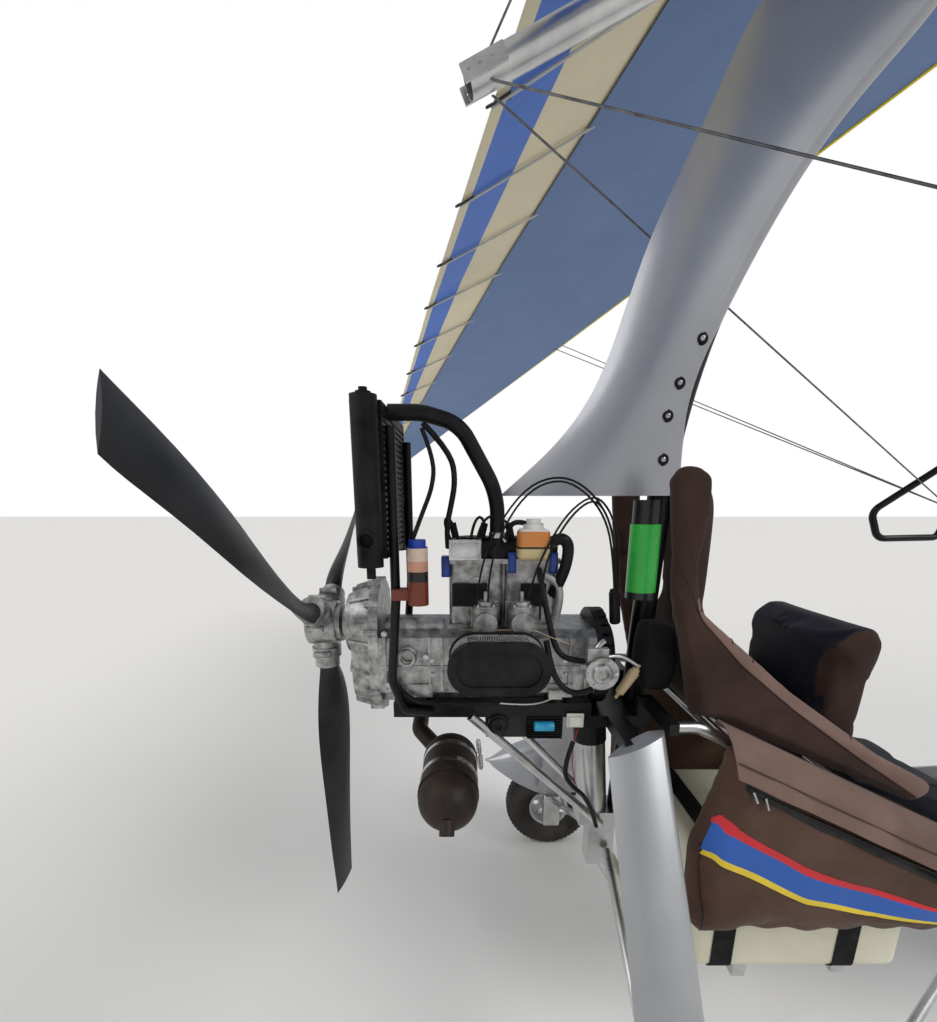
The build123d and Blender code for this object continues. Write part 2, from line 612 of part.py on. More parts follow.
def gear_outline(radius):
    """Slot round the crankshaft and the propeller shaft."""
    middle = (GEAR_LOW_Z + PROP_Z) / 2
    return Pos(0, middle) * Rot(0, 0, 90) * SlotCenterToCenter(PROP_Z - GEAR_LOW_Z, 2 * radius)


def make_gearbox():
    """Reduction gear cover: bolted flange, tapered bowl with radial ribs, and the shaft's boss."""
    back = Plane(origin=(0, GEAR_JOINT_Y, 0), x_dir=(1, 0, 0), z_dir=(0, -1, 0))
    face = back.offset(GEAR_FLANGE)
    solid = extrude(back * gear_outline(GEAR_R - 5), amount=GEAR_FLANGE)
    solid += extrude(face * gear_outline(GEAR_R - 12), amount=GEAR_BOWL, taper=GEAR_TAPER)
    solid += extrude(face * (Pos(0, PROP_Z) * Circle(GEAR_R - 12)), amount=GEAR_DOME, taper=GEAR_TAPER + 10)
    limit = extrude(face * gear_outline(GEAR_R - 6), amount=GEAR_BOWL + 4, taper=GEAR_TAPER)
    for turn in range(GEAR_RIBS):
        line = Pos(0, PROP_Z) * Rot(0, 0, 360 * turn / GEAR_RIBS + 15) * Pos(GEAR_R, 0)
        solid += extrude(face * (line * Rectangle(2 * GEAR_R, 6)), amount=GEAR_BOWL + 4) & limit
    for height, turns in ((PROP_Z, (0, 36, 72, 108, 144, 180)), (GEAR_LOW_Z, (200, 235, 270, 305, 340))):
        for turn in turns:
            angle = math.radians(turn)
            reach = GEAR_R - GEAR_BOSS_R + 2
            centre = (reach * math.cos(angle), GEAR_JOINT_Y, height + reach * math.sin(angle))
            solid += rod(centre, (centre[0], GEAR_JOINT_Y - GEAR_FLANGE - 10, centre[2]), GEAR_BOSS_R)
    shaft_end = GEAR_JOINT_Y - GEAR_FLANGE - GEAR_DOME
    solid += rod((0, shaft_end + 2, PROP_Z), (0, shaft_end - 14, PROP_Z), 42)
    return solid - rod((0, -290, PROP_Z), (0, -330, PROP_Z), SHAFT_R + RUNNING_GAP)


def make_top_end():
    """Cylinders with their flanges, and the head with plug caps, ignition box and coolant elbow."""
    low, side = CASE_TOP_Z + SEAT_GAP, CYLINDER_SIDE_X
    ends = (CYLINDER_Y[0] - CYLINDER_HALF, CYLINDER_Y[1] + CYLINDER_HALF)
    parts = [block((-side, side), (y - CYLINDER_HALF, y + CYLINDER_HALF), (low, HEAD_JOINT_Z), 14) for y in CYLINDER_Y]
    parts += [block((-60, 60), (0, 170), (low, 1500)),
              block((-side - 6, side + 6), (ends[0] - 4, ends[1] + 4), (low, low + 11)),
              block((-side - 3, side + 3), (ends[0] - 2, ends[1] + 2), (HEAD_JOINT_Z - 12, HEAD_JOINT_Z))]
    parts += [block((side - 2, side + 7), (y - 34, y + 34), (CARB_Z - 33, CARB_Z + 33), 3) for y in CARB_Y]
    parts += [rod((side - 2, y, 1450), (side + 6, y, 1450), 15) for y in CYLINDER_Y]
    cylinders = joined(parts)
    head = [block((-72, 72), (ends[0] + 4, ends[1] - 4), (HEAD_JOINT_Z + SEAT_GAP, HEAD_TOP_Z), 8)]
    head += [rod((0, y, HEAD_TOP_Z - 6), (0, y, HEAD_TOP_Z + 9), 48) for y in CYLINDER_Y]
    for y in CYLINDER_Y:
        for offset in PLUG_OFFSET:
            lean = math.copysign(12, offset)
            head.append(rod((34, y + offset, HEAD_TOP_Z - 8), (34, y + offset + lean, HEAD_TOP_Z + 44), 9))
            head.append(rod((34, y + offset, HEAD_TOP_Z - 8), (34, y + offset, HEAD_TOP_Z + 8), 14))
    head += [block((70, 92), (-47, 28), (1513, 1551), 3), rod((70, 71, 1526), (88, 71, 1526), 17)]
    head.append(rod((50, 70, HEAD_TOP_Z - 4), (50, 70, HEAD_TOP_Z + 3), HOSE_R + 5))
    return cylinders, joined(head)


def make_carburettors():
    """Two slide carburettors: body, round chamber with its screwed cap, and the cable's tube."""
    parts = []
    for y in CARB_Y:
        parts += [rod((CYLINDER_SIDE_X + 7.3, y, CARB_Z), (FILTER_X[0] - SEAT_GAP, y, CARB_Z), CARB_R),
                  rod((148, y, 1322), (148, y, 1408), 29), rod((148, y, 1392), (148, y, 1404), 32),
                  rod((148, y, 1408), (148, y, 1418), 20), rod((148, y, 1418), (148, y, 1440), 5),
                  rod((CYLINDER_SIDE_X + 16, y, CARB_Z), (CYLINDER_SIDE_X + 36, y, CARB_Z), CARB_R + 3)]
    return joined(parts)


def make_air_filter():
    """Oval filter: closed end with a sunk panel, and a pleated band between its two rims."""
    centre = Pos(*FILTER_CENTRE)
    across, up = FILTER_SIZE
    length = FILTER_X[1] - FILTER_X[0]

    def oval(inset):
        return centre * SlotOverall(across - 2 * inset, up - 2 * inset)

    body = extrude(Plane.YZ.offset(FILTER_X[0]) * oval(4), amount=length)
    body += extrude(Plane.YZ.offset(FILTER_X[0]) * oval(0), amount=12)
    body += extrude(Plane.YZ.offset(FILTER_X[1] - 26) * oval(0), amount=26)
    body -= extrude(Plane.YZ.offset(FILTER_X[1] - 5) * oval(19), amount=5)
    run = across - up
    grooves = []
    for pleat in range(FILTER_PLEATS):
        y = FILTER_CENTRE[0] - run / 2 - 12 + pleat * (run + 24) / (FILTER_PLEATS - 1)
        beyond = max(0, abs(y - FILTER_CENTRE[0]) - run / 2)
        top = FILTER_CENTRE[1] + math.sqrt((up / 2) ** 2 - beyond ** 2)
        grooves.append(block((FILTER_X[0] + 20, FILTER_X[1] - 34), (y - 1.3, y + 1.3), (top - 10, top + 4)))
    return body - grooves


def make_silencer():
    """Can across the engine with a domed end, its bands, tail pipe, and the pipe up to the ports."""
    y, z = CAN_CENTRE
    straight = 318
    can = rod((130, y, z), (straight, y, z), CAN_R, CAN_WALL) + rod((130, y, z), (134, y, z), CAN_R - 2)
    dome = Pos(straight, y, z) * (Sphere(CAN_R) - Sphere(CAN_R - CAN_WALL))
    can += dome & block((straight, straight + 90), (y - 100, y + 100), (z - 100, z + 100))
    for x in (146, 292):
        can += rod((x, y, z), (x + 14, y, z), CAN_R + 2.5, 4)
    can += bent_rod([(135, -60, 1010), (20, -135, 1030), (-178, -135, 1080), (-178, 20, 1300), (-130, 87, 1420)],
                    [40, 50, 60], 22)
    can += rod((374, y, 996), (392, y, 970), 16)
    return can + block((-150, -CYLINDER_SIDE_X - SEAT_GAP), (-20, 194), (1390, 1450), 12)


def make_radiator():
    """Finned core between two round side tanks, with a port, a filler cap and a foot."""
    core = block((-RADIATOR_X, RADIATOR_X), (RADIATOR_FACE_Y - 66, RADIATOR_FACE_Y), RADIATOR_Z)
    pitch = (RADIATOR_Z[1] - RADIATOR_Z[0] - 30) / RADIATOR_FINS
    slots = [block((-RADIATOR_X + 12, RADIATOR_X - 12), face, (z, z + pitch / 2))
             for z in [RADIATOR_Z[0] + 15 + pitch * i for i in range(RADIATOR_FINS)]
             for face in ((RADIATOR_FACE_Y - 4, RADIATOR_FACE_Y + 1), (RADIATOR_FACE_Y - 67, RADIATOR_FACE_Y - 62))]
    core -= slots
    tank_y = RADIATOR_FACE_Y - 33
    low, high = RADIATOR_Z[0] - 16, RADIATOR_Z[1] + 6
    parts = both_sides(rod((200, tank_y, low), (200, tank_y, high), RADIATOR_TANK_R))
    cap = rod((200, tank_y, high), (200, tank_y, high + 6), 16) + rod((200, tank_y, high), (200, tank_y, high + 14), 9)
    port = rod((210, tank_y, 1563), (236, tank_y, 1563), 20)
    foot = rod((200, tank_y, low - 26), (200, tank_y, low + 2), 10)
    solid = core + parts + cap + port + foot
    return solid - rod((216, tank_y, 1563), (240, tank_y, 1563), 15)


def make_engine():
    nodes = {"crankcase": make_crankcase(), "gearbox": make_gearbox()}
    fan = rod((0, CASE_END_Y + SEAT_GAP, CRANK_Z), (0, 352, CRANK_Z), FAN_R) + rod((0, 352, CRANK_Z), (0, 371, CRANK_Z), 90)
    nodes["starter_housing"] = fan - [Pos(0, 342, CRANK_Z) * Rot(0, 360 * turn / FAN_SLOTS, 0) * Pos(FAN_R - 6, 0, 0)
                                      * Box(24, 22, 8) for turn in range(FAN_SLOTS)]
    nodes["cylinders"], nodes["cylinder_head"] = make_top_end()
    nodes["carburettors"] = make_carburettors()
    nodes["air_filter"] = make_air_filter()
    nodes["silencer"] = make_silencer()
    nodes["radiator"] = make_radiator()
    legs = []
    for x in (-150, 150):
        foot_x = math.copysign(RAIL_X + RAIL_W / 2 + FRAME_TUBE_R + SEAT_GAP, x)
        path = [(x, FRAME_TUBE_Y, 1800), (x, FRAME_TUBE_Y, 1420), (x, -185, 1224), (foot_x, -160, 1135),
                (foot_x, -90, 1128)]
        legs.append(bent_rod(path, [60, 40, 20], FRAME_TUBE_R))
    nodes["radiator_frame"] = joined(legs)
    nodes["coolant_hose"] = bent_rod([(50, 70, HEAD_TOP_Z + 3 + SEAT_GAP), (50, 70, 1660), (70, -20, 1815),
                                       (95, -105, 1836), (95, RADIATOR_FACE_Y + SEAT_GAP, 1836)],
                                      [190, 90, 120], HOSE_R)
    nodes["oil_tank"] = block((72.3, 134), (115, 189), (1508.6, 1582), 12) \
        + rod((103, 152, 1578), (103, 152, 1592), 24) + rod((103, 152, 1590), (103, 152, 1604), 17)
    holder = block((146, 182), (FRAME_TUBE_Y - 4, -110), (1425, 1450))
    holder -= rod((150, FRAME_TUBE_Y, 1400), (150, FRAME_TUBE_Y, 1500), FRAME_TUBE_R + SEAT_GAP)
    bottle = rod((180, -113, 1416), (180, -113, 1546), 23) + rod((180, -113, 1542), (180, -113, 1562), 19)
    nodes["overflow_bottle"] = bottle + holder
    nodes["fuel_pump"] = rod((190, 303, 1264), (222, 303, 1264), 38) + block((196, 216), (268, 318), (1288, 1322), 4) \
        + rod((122.3, 290, 1252), (192, 290, 1252), 9) + rod((206, 255, 1276), (206, 303, 1276), 7)
    nodes["electrics_box"] = block((40, 98), (45, 245), (1045, RAIL_Z[0] - SEAT_GAP), 4)
    nodes["spray_bottle"] = rod((55.8, 431, 1408), (55.8, 431, 1590), 36) + rod((55.8, 431, 1588), (55.8, 431, 1647), 33)
    return nodes


# Propeller: radius, chord, thickness, blade angle and sweep of each section
BLADE_SECTIONS = (
    (120, 50, 46, 46, -8),
    (190, 86, 34, 42, -24),
    (300, 116, 22, 33, -18),
    (450, 126, 16, 22, -8),
    (620, 120, 12, 15, 0),
    (760, 112, 9, 11, 0),
    (828, 106, 7, 10, 0),
)
BLADE_ANGLES = (29, 149, 269)
SPINNER_PCD = 84
SPINNER_HOLE_R = 4
SPINNER_BOLT_TURN = 29
TOW_BORE_R = 5
SHAFT_R = 17
SHANK_R = 32
CLAMP_R = 38


def make_propeller():
    sections = []
    for radius, chord, thick, angle, sweep in BLADE_SECTIONS:
        upper = ThreePointArc((-chord / 2, 0), (0, thick / 2), (chord / 2, 0))
        lower = ThreePointArc((chord / 2, 0), (0, -thick / 2), (-chord / 2, 0))
        place = Plane(origin=(radius, 0, sweep), x_dir=(0, 0, 1), z_dir=(1, 0, 0))
        sections.append(place * Rot(0, 0, angle) * make_face([upper, lower]))
    blade = loft(sections)
    face = -420
    hub = rod((0, -345, 0), (0, face, 0), 58) + rod((0, -290, 0), (0, -345, 0), SHAFT_R)
    hub += rod((0, -333, 0), (0, -346, 0), 50)
    centre = Vector(0, PROP_PLANE_Y, 0)
    blades = []
    for angle in BLADE_ANGLES:
        blades.append(Rot(0, -angle, 0) * Pos(0, PROP_PLANE_Y, 0) * blade)
        run = Vector(math.cos(math.radians(angle)), 0, math.sin(math.radians(angle)))
        beside = Vector(-run.Z, 0, run.X)
        hub += rod(centre + run * 20, centre + run * (BLADE_SECTIONS[0][0] - SEAT_GAP), SHANK_R)
        hub += rod(centre + run * 66, centre + run * 92, CLAMP_R)
        for side in (-1, 1):
            ear = centre + run * 79 + beside * side * (CLAMP_R + 3)
            hub += rod(ear - Vector(0, 21, 0), ear + Vector(0, 21, 0), 8)
    for turn in range(6):
        angle = math.radians(60 * turn + SPINNER_BOLT_TURN)
        hole = (SPINNER_PCD / 2 * math.cos(angle), face + 14, SPINNER_PCD / 2 * math.sin(angle))
        hub -= rod(hole, (hole[0], face - 5, hole[2]), SPINNER_HOLE_R)
    lift = Pos(0, 0, PROP_Z)
    return {"propeller_hub": lift * hub, "propeller_blades": lift * joined(blades)}


# Wing: half-span station, leading edge aft, trailing edge aft, trailing edge height, camber height, nose radius
SAIL_STATIONS = (
    (33.4, 26, 2540, 100, 215, 40),
    (1500, 1070, 2830, 210, 150, 40),
    (3000, 2140, 3230, 180, 110, 38),
    (4200, 3000, 3520, 150, 86, 35),
    (4950, 3535, 3790, 80, 50, 32),
)
CREST_SHARE = 0.27
SAIL_SKIN = 4
LEADING_TUBE_R = 22
DOUBLE_SHARE = 0.78


def sail_section(station, inset):
    """Closed outline of the sail at one station, drawn with arcs and lines (aft, up)."""
    across, lead, trail, rise, camber, r = station
    chord = trail - lead
    nose_x = lead + r
    crest = (lead + CREST_SHARE * chord, camber)
    bulge = 0.08 * camber

    def upper(part, drop):
        """Point on the upper skin behind the crest."""
        back = (part - CREST_SHARE) / (1 - CREST_SHARE)
        return (lead + part * chord, camber + (rise - camber) * back + bulge * math.sin(math.pi * back) - drop)

    top = (nose_x, r - inset)
    bottom = (nose_x, -r + inset)
    front_mid = (nose_x + 0.42 * (crest[0] - nose_x), r + 0.7 * (camber - r) - inset)
    if inset:
        end = DOUBLE_SHARE - 0.04
        rear = [ThreePointArc((crest[0], camber - inset), upper((CREST_SHARE + end) / 2, inset), upper(end, inset)),
                Line(upper(end, inset), upper(end, inset + 3)),
                Line(upper(end, inset + 3), bottom)]
    else:
        join = upper(DOUBLE_SHARE, SAIL_SKIN + 5)
        rear = [ThreePointArc(crest, upper((CREST_SHARE + 1) / 2, 0), (trail, rise)),
                Line((trail, rise), (trail, rise - SAIL_SKIN)),
                Line((trail, rise - SAIL_SKIN), join),
                Line(join, bottom)]
    front = ThreePointArc(top, front_mid, (crest[0], camber - inset))
    nose = ThreePointArc(bottom, (lead + inset, 0), top)
    place = Plane(origin=wing_point(across, 0, 0), x_dir=-WING_FORWARD, z_dir=(-1, 0, 0))
    return place * make_face([front, *rear, nose])


def make_wing():
    nodes = {}
    outer = loft([sail_section(s, 0) for s in SAIL_STATIONS], ruled=True)
    inner = loft([sail_section(s, SAIL_SKIN) for s in SAIL_STATIONS], ruled=True)
    right = outer - inner
    nodes["sail_right"] = right
    nodes["sail_left"] = mirror(right, about=Plane.YZ)
    first, last = SAIL_STATIONS[0], SAIL_STATIONS[-1]
    slope = (last[1] + last[5] - first[1] - first[5]) / (last[0] - first[0])
    root_aft = first[1] + first[5] + 34 * slope
    tube = wing_rod((first[0] + 34, root_aft, 0), (last[0] + 20, last[1] + last[5] + 20 * slope, 0), LEADING_TUBE_R, 3)
    nodes["leading_edges"] = both_sides(tube)
    keel = wing_rod((0, 40, 0), (0, KEEL_AFT_END, 0), WING_KEEL_R, 3)
    keel += wing_rod((0, 60, 0), (0, 90, 0), WING_KEEL_R + 4)
    for side in (-1, 1):
        low = (KEEL_AFT_END - TANG_LENGTH + 12, KEEL_AFT_END + 12)
        tang = wing_block(sorted((side * (WING_KEEL_R - 2), side * (WING_KEEL_R + 3))), low, (-TANG_HALF, TANG_HALF))
        for aft in (KEEL_AFT_END - 2, KEEL_AFT_END - 28, KEEL_AFT_END - 54):
            tang -= wing_rod((side * (WING_KEEL_R - 6), aft, 0), (side * (WING_KEEL_R + 9), aft, 0), TANG_HOLE_R)
        keel += tang
    nodes["wing_keel"] = keel
    keel_top = WING_KEEL_R + SEAT_GAP
    post_top = (0, KINGPOST_AFT + 60, KINGPOST_HEIGHT)
    keel_around = wing_rod((0, 0, 0), (0, KEEL_AFT_END, 0), WING_KEEL_R + SEAT_GAP)
    nodes["kingpost"] = wing_rod((0, KINGPOST_AFT, 10), post_top, KINGPOST_R) - keel_around
    frame = both_sides(wing_rod(UPRIGHT_TOP, BAR_CORNER, UPRIGHT_R))
    frame += wing_block((-34, 34), (APEX_AFT - 24, APEX_AFT + 24), (-WING_KEEL_R - 32, -WING_KEEL_R - SEAT_GAP))
    left_corner = (-BAR_CORNER[0], *BAR_CORNER[1:])
    nodes["control_frame"] = frame - wing_rod(left_corner, BAR_CORNER, UPRIGHT_R + SEAT_GAP)
    loop_x = BAR_CORNER[0] - 15
    hold = Vector(*UPRIGHT_TOP) + (Vector(*BAR_CORNER) - Vector(*UPRIGHT_TOP)) * 0.86
    start = wing_point(*hold)
    loop = bent_rod([start, (loop_x, 1606, 1606), (loop_x, 1650, 1500), (loop_x, 1890, 1505),
                     wing_point(loop_x, *BAR_CORNER[1:])], [45, 45, 30], LOOP_R)
    loop -= wing_rod(UPRIGHT_TOP, BAR_CORNER, UPRIGHT_R + SEAT_GAP)
    nodes["base_bar"] = wing_rod(left_corner, BAR_CORNER, UPRIGHT_R) + both_sides(loop)

    first = SAIL_STATIONS[0]
    pocket = wing_rod((0, POCKET_AFT[0], 0), (0, POCKET_AFT[1], 0), WING_KEEL_R + 3)
    pocket -= wing_rod((0, 0, 0), (0, KEEL_AFT_END, 0), WING_KEEL_R + SEAT_GAP)
    nodes["keel_pocket"] = pocket

    stays = None
    post_side = 10
    for side in (-1, 1):
        corner = (side * BAR_CORNER[0], *BAR_CORNER[1:])
        runs = [((side * 6, KEEL_AFT_END - 20, 0), corner), ((side * 6, 75, 0), corner),
                ((side * SIDE_STAY_X, SIDE_STAY_AFT, -SAIL_NOSE_DEPTH), corner),
                ((side * SIDE_STAY_X, SIDE_STAY_AFT + 60, -SAIL_NOSE_DEPTH + 4), corner),
                ((side * post_side, post_top[1], post_top[2] - 16),
                 (side * SIDE_STAY_X, SIDE_STAY_AFT, SAIL_NOSE_DEPTH + 26))]
        for start, end in runs:
            line = wing_rod(start, end, STAY_R)
            stays = line if stays is None else stays + line
    for aft in (75, KEEL_AFT_END - 20):
        stays += wing_rod((0, aft, 0), (0, post_top[1], post_top[2] - 30), STAY_R)
    gap = SEAT_GAP
    stays -= wing_rod((0, 0, 0), (0, KEEL_AFT_END + 9, 0), WING_KEEL_R + 4 + gap)
    stays -= wing_rod(left_corner, BAR_CORNER, UPRIGHT_R + gap)
    stays -= both_sides(wing_rod(UPRIGHT_TOP, BAR_CORNER, UPRIGHT_R + gap))
    stays -= wing_rod((0, KINGPOST_AFT, keel_top), (0, post_top[1] + 4, post_top[2] + 60), KINGPOST_R + gap)
    nodes["wing_stays"] = stays
    return nodes


def wing_block(across, aft, up):
    """Box in wing coordinates."""
    box = block(across, (-aft[1], -aft[0]), up)
    return Plane(origin=WING_NOSE, x_dir=(1, 0, 0), z_dir=WING_UP) * box


def make_hang_block():
    keel_y = wing_point(0, HANG_AFT, 0)
    along = WING_FORWARD * 45
    block_low = keel_y - along
    place = Plane(origin=block_low, x_dir=(1, 0, 0), z_dir=WING_FORWARD)
    body = extrude(place * RectangleRounded(84, 84, 12), amount=90)
    lug = block((-HANG_LUG_HALF, HANG_LUG_HALF), (HANG_BOLT[1] - 20, HANG_BOLT[1] + 20),
                (HANG_BOLT[2], HANG_BOLT[2] + 40))
    lug += rod((-HANG_LUG_HALF, *HANG_BOLT[1:]), (HANG_LUG_HALF, *HANG_BOLT[1:]), 20)
    body += lug
    body -= rod((block_low - along), (block_low + along * 3), WING_KEEL_R + RUNNING_GAP)
    body -= rod((-60, *HANG_BOLT[1:]), (60, *HANG_BOLT[1:]), HANG_BOLT_R + RUNNING_GAP)
    return {"hang_block": body}


def all_nodes():
    nodes = {}
    for maker in (make_frame, make_fairing, make_undercarriage, make_wheels, make_seats, make_pod, make_fork,
                  make_engine, make_propeller, make_hang_block, make_wing):
        nodes.update(maker())
    return nodes


def centring_shift(nodes):
    """Move along Y that puts the middle of the whole box on the origin."""
    box = Compound(children=[s for n in nodes.values() for s in n.solids()]).bounding_box()
    return -(box.min.Y + box.max.Y) / 2


def main():
    os.makedirs("parts", exist_ok=True)
    nodes = all_nodes()
    shift = centring_shift(nodes)
    print("moved along Y by", round(shift, 4))
    for name, shape in nodes.items():
        solids = [Pos(0, shift, 0) * s for s in shape.solids()]
        export_step(solids[0] if len(solids) == 1 else Compound(children=solids), f"parts/{name}.step")


if __name__ == "__main__":
    main()
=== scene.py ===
import bmesh
import bpy
import json
import math
from mathutils import Matrix, Vector
from mathutils.bvhtree import BVHTree


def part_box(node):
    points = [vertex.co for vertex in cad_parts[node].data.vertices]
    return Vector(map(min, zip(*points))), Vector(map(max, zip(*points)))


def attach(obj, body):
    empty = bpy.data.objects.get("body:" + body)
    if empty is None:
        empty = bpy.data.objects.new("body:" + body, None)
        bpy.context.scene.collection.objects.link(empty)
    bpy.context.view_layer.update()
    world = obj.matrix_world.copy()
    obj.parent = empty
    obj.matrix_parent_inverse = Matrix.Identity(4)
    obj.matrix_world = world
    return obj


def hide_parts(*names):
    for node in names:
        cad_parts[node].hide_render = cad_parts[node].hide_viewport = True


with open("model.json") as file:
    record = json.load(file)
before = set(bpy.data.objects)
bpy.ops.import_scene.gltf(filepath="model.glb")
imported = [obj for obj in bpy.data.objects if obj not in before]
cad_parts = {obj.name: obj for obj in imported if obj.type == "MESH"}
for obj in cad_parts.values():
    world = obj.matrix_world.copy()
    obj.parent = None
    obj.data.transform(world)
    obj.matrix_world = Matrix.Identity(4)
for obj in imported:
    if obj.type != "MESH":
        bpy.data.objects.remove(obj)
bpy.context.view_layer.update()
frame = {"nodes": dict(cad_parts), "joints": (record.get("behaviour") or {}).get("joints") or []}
bpy.ops.object.select_all(action="DESELECT")
joints = {joint["name"]: joint for joint in frame["joints"]}

# Camera
# The aircraft is seen square from its starboard side, from a standing height beside the engine,
# through a wide lens tipped a little down.
PROP_STATION = -0.383
STATION_ZERO = joints["propeller_spin"]["pos_m"][1] - PROP_STATION


def at(x, y, z):
    """Point across the aircraft, forward of the rear cylinder, and above the ground."""
    return Vector((x, y + STATION_ZERO, z))


def placed(name, data):
    """New object with its data, in the scene."""
    thing = bpy.data.objects.new(name, data)
    bpy.context.scene.collection.objects.link(thing)
    return thing


EYE = at(1.27, 0, 1.64)
TIPPED_DOWN = 13.93
SENSOR_WIDTH = 36
FOCAL_LENGTH = 17.26
PICTURE_RISE = 0.111
camera = placed("camera", bpy.data.cameras.new("camera"))
camera.location = EYE
camera.rotation_euler = (math.radians(90 - TIPPED_DOWN), 0, math.radians(90))
camera.data.sensor_width = SENSOR_WIDTH
camera.data.lens = FOCAL_LENGTH
camera.data.shift_y = PICTURE_RISE
bpy.context.scene.camera = camera
bpy.context.scene.view_settings.view_transform = "Standard"

# Studio
# A wide pale floor under an even white sky, with a soft key light from ahead and starboard and a
# weaker one from behind, so that no side of the machine is left dark.

FLOOR_HALF = 60
FLOOR_TONE = (0.80, 0.79, 0.77, 1)
FLOOR_ROUGH = 0.9
SKY_LIGHT = 0.50


def add_node(tree, kind, **inputs):
    """Shader node with its input sockets set by name."""
    node = tree.nodes.new("ShaderNode" + kind)
    for socket, value in inputs.items():
        node.inputs[socket.replace("_", " ")].default_value = value
    return node


world = bpy.data.worlds.new("studio")
bpy.context.scene.world = world
world.use_nodes = True
sky = world.node_tree
backdrop = sky.nodes["Background"]
backdrop.inputs["Color"].default_value = (1, 1, 1, 1)
ray = sky.nodes.new("ShaderNodeLightPath")
seen = sky.nodes.new("ShaderNodeMath")
seen.operation = "MAXIMUM"
level = add_node(sky, "MapRange", To_Min=SKY_LIGHT, To_Max=1.0)
sky.links.new(ray.outputs["Is Camera Ray"], seen.inputs[0])
sky.links.new(ray.outputs["Is Transmission Ray"], seen.inputs[1])
sky.links.new(seen.outputs[0], level.inputs["Value"])
sky.links.new(level.outputs["Result"], backdrop.inputs["Strength"])

bpy.ops.mesh.primitive_plane_add(size=2 * FLOOR_HALF, location=(0, 0, 0))
floor = bpy.context.object
floor.name = "floor"
paint = bpy.data.materials.new("floor_paint")
paint.use_nodes = True
floor_shader = paint.node_tree.nodes["Principled BSDF"]
floor_shader.inputs["Base Color"].default_value = FLOOR_TONE
floor_shader.inputs["Roughness"].default_value = FLOOR_ROUGH
floor.data.materials.append(paint)
bpy.ops.object.select_all(action="DESELECT")

LAMPS = (  # name, turn about X, turn about Z, strength, angular size
    ("key_light", 48, 140, 1.5, 30),
    ("back_light", 55, 20, 0.7, 40),
)
for name, tip, turn, strength, spread in LAMPS:
    lamp = placed(name, bpy.data.lights.new(name, "SUN"))
    lamp.rotation_euler = (math.radians(tip), 0, math.radians(turn))
    lamp.data.energy = strength
    lamp.data.angle = math.radians(spread)


# Tubes of the trike
# Keel, rear struts, seat frame and the joints that carry the wheels are drawn alloy tube, dulled by
# handling. The mast, the engine's rails, the radiator's frame and the fork are coated black.

def finish(name, dark, light, rough, metal=0.0, patch=4.0, grain=250.0, depth=0.0, **sockets):
    """Material whose colour drifts between two tones, with an uneven gloss and a fine grain."""
    material = bpy.data.materials.new(name)
    material.use_nodes = True
    tree = material.node_tree
    shader = tree.nodes["Principled BSDF"]
    shader.inputs["Metallic"].default_value = metal
    for socket, value in sockets.items():
        shader.inputs[socket.replace("_", " ")].default_value = value
    place = tree.nodes.new("ShaderNodeTexCoord").outputs["Object"]
    drift = add_node(tree, "TexNoise", Scale=patch, Detail=6, Roughness=0.6)
    tone = add_node(tree, "ValToRGB")
    for stop, position, colour in zip(tone.color_ramp.elements, (0.35, 0.68), (dark, light)):
        stop.position = position
        stop.color = (*colour, 1)
    gloss = add_node(tree, "MapRange", From_Min=0.3, From_Max=0.7,
                     To_Min=rough * 0.8, To_Max=min(1, rough * 1.2))
    fine = add_node(tree, "TexNoise", Scale=grain, Detail=3)
    bump = add_node(tree, "Bump", Strength=0.6, Distance=depth)
    tree.links.new(place, drift.inputs["Vector"])
    tree.links.new(place, fine.inputs["Vector"])
    tree.links.new(drift.outputs["Fac"], tone.inputs["Fac"])
    tree.links.new(drift.outputs["Fac"], gloss.inputs["Value"])
    tree.links.new(tone.outputs["Color"], shader.inputs["Base Color"])
    tree.links.new(gloss.outputs["Result"], shader.inputs["Roughness"])
    tree.links.new(fine.outputs["Fac"], bump.inputs["Height"])
    tree.links.new(bump.outputs["Normal"], shader.inputs["Normal"])
    return material


def dress(material, *names):
    """Gives CAD nodes their finish."""
    for name in names:
        data = frame["nodes"][name].data
        data.materials.clear()
        data.materials.append(material)


bare_alloy = finish("bare_alloy", (0.50, 0.50, 0.50), (0.72, 0.72, 0.71), 0.32, 1.0, 9, 300, 0.0002)
dress(bare_alloy, "keel_beam", "rear_struts", "seat_frame", "axle_left", "axle_right")
black_tube = finish("black_tube", (0.004, 0.004, 0.005), (0.014, 0.014, 0.015), 0.35, 0.0, 12, 300, 0.0003,
                    Specular_IOR_Level=0.25)
dress(black_tube, "mast", "engine_mount", "radiator_frame", "nose_fork")


# Fairings
# The mast cover, the pod and the wheel covers are moulded shells in silver paint under lacquer, and
# the two undercarriage legs are faired in a flatter grey.

silver_paint = finish("silver_paint", (0.38, 0.39, 0.42), (0.48, 0.49, 0.52), 0.34, 0.6, 1.5, 900, 0.0001,
                      Coat_Weight=0.5, Coat_Roughness=0.15)
leg_paint = finish("leg_paint", (0.36, 0.37, 0.38), (0.46, 0.47, 0.48), 0.34, 0.5, 2.0, 900, 0.0001,
                   Coat_Weight=0.4, Coat_Roughness=0.2)
dress(silver_paint, "mast_fairing", "pod", "wheel_cover_left", "wheel_cover_right")
dress(leg_paint, "leg_left", "leg_right")

# Wheels
# Small treaded tyres on cast alloy rims, grey with dust from a dry field.

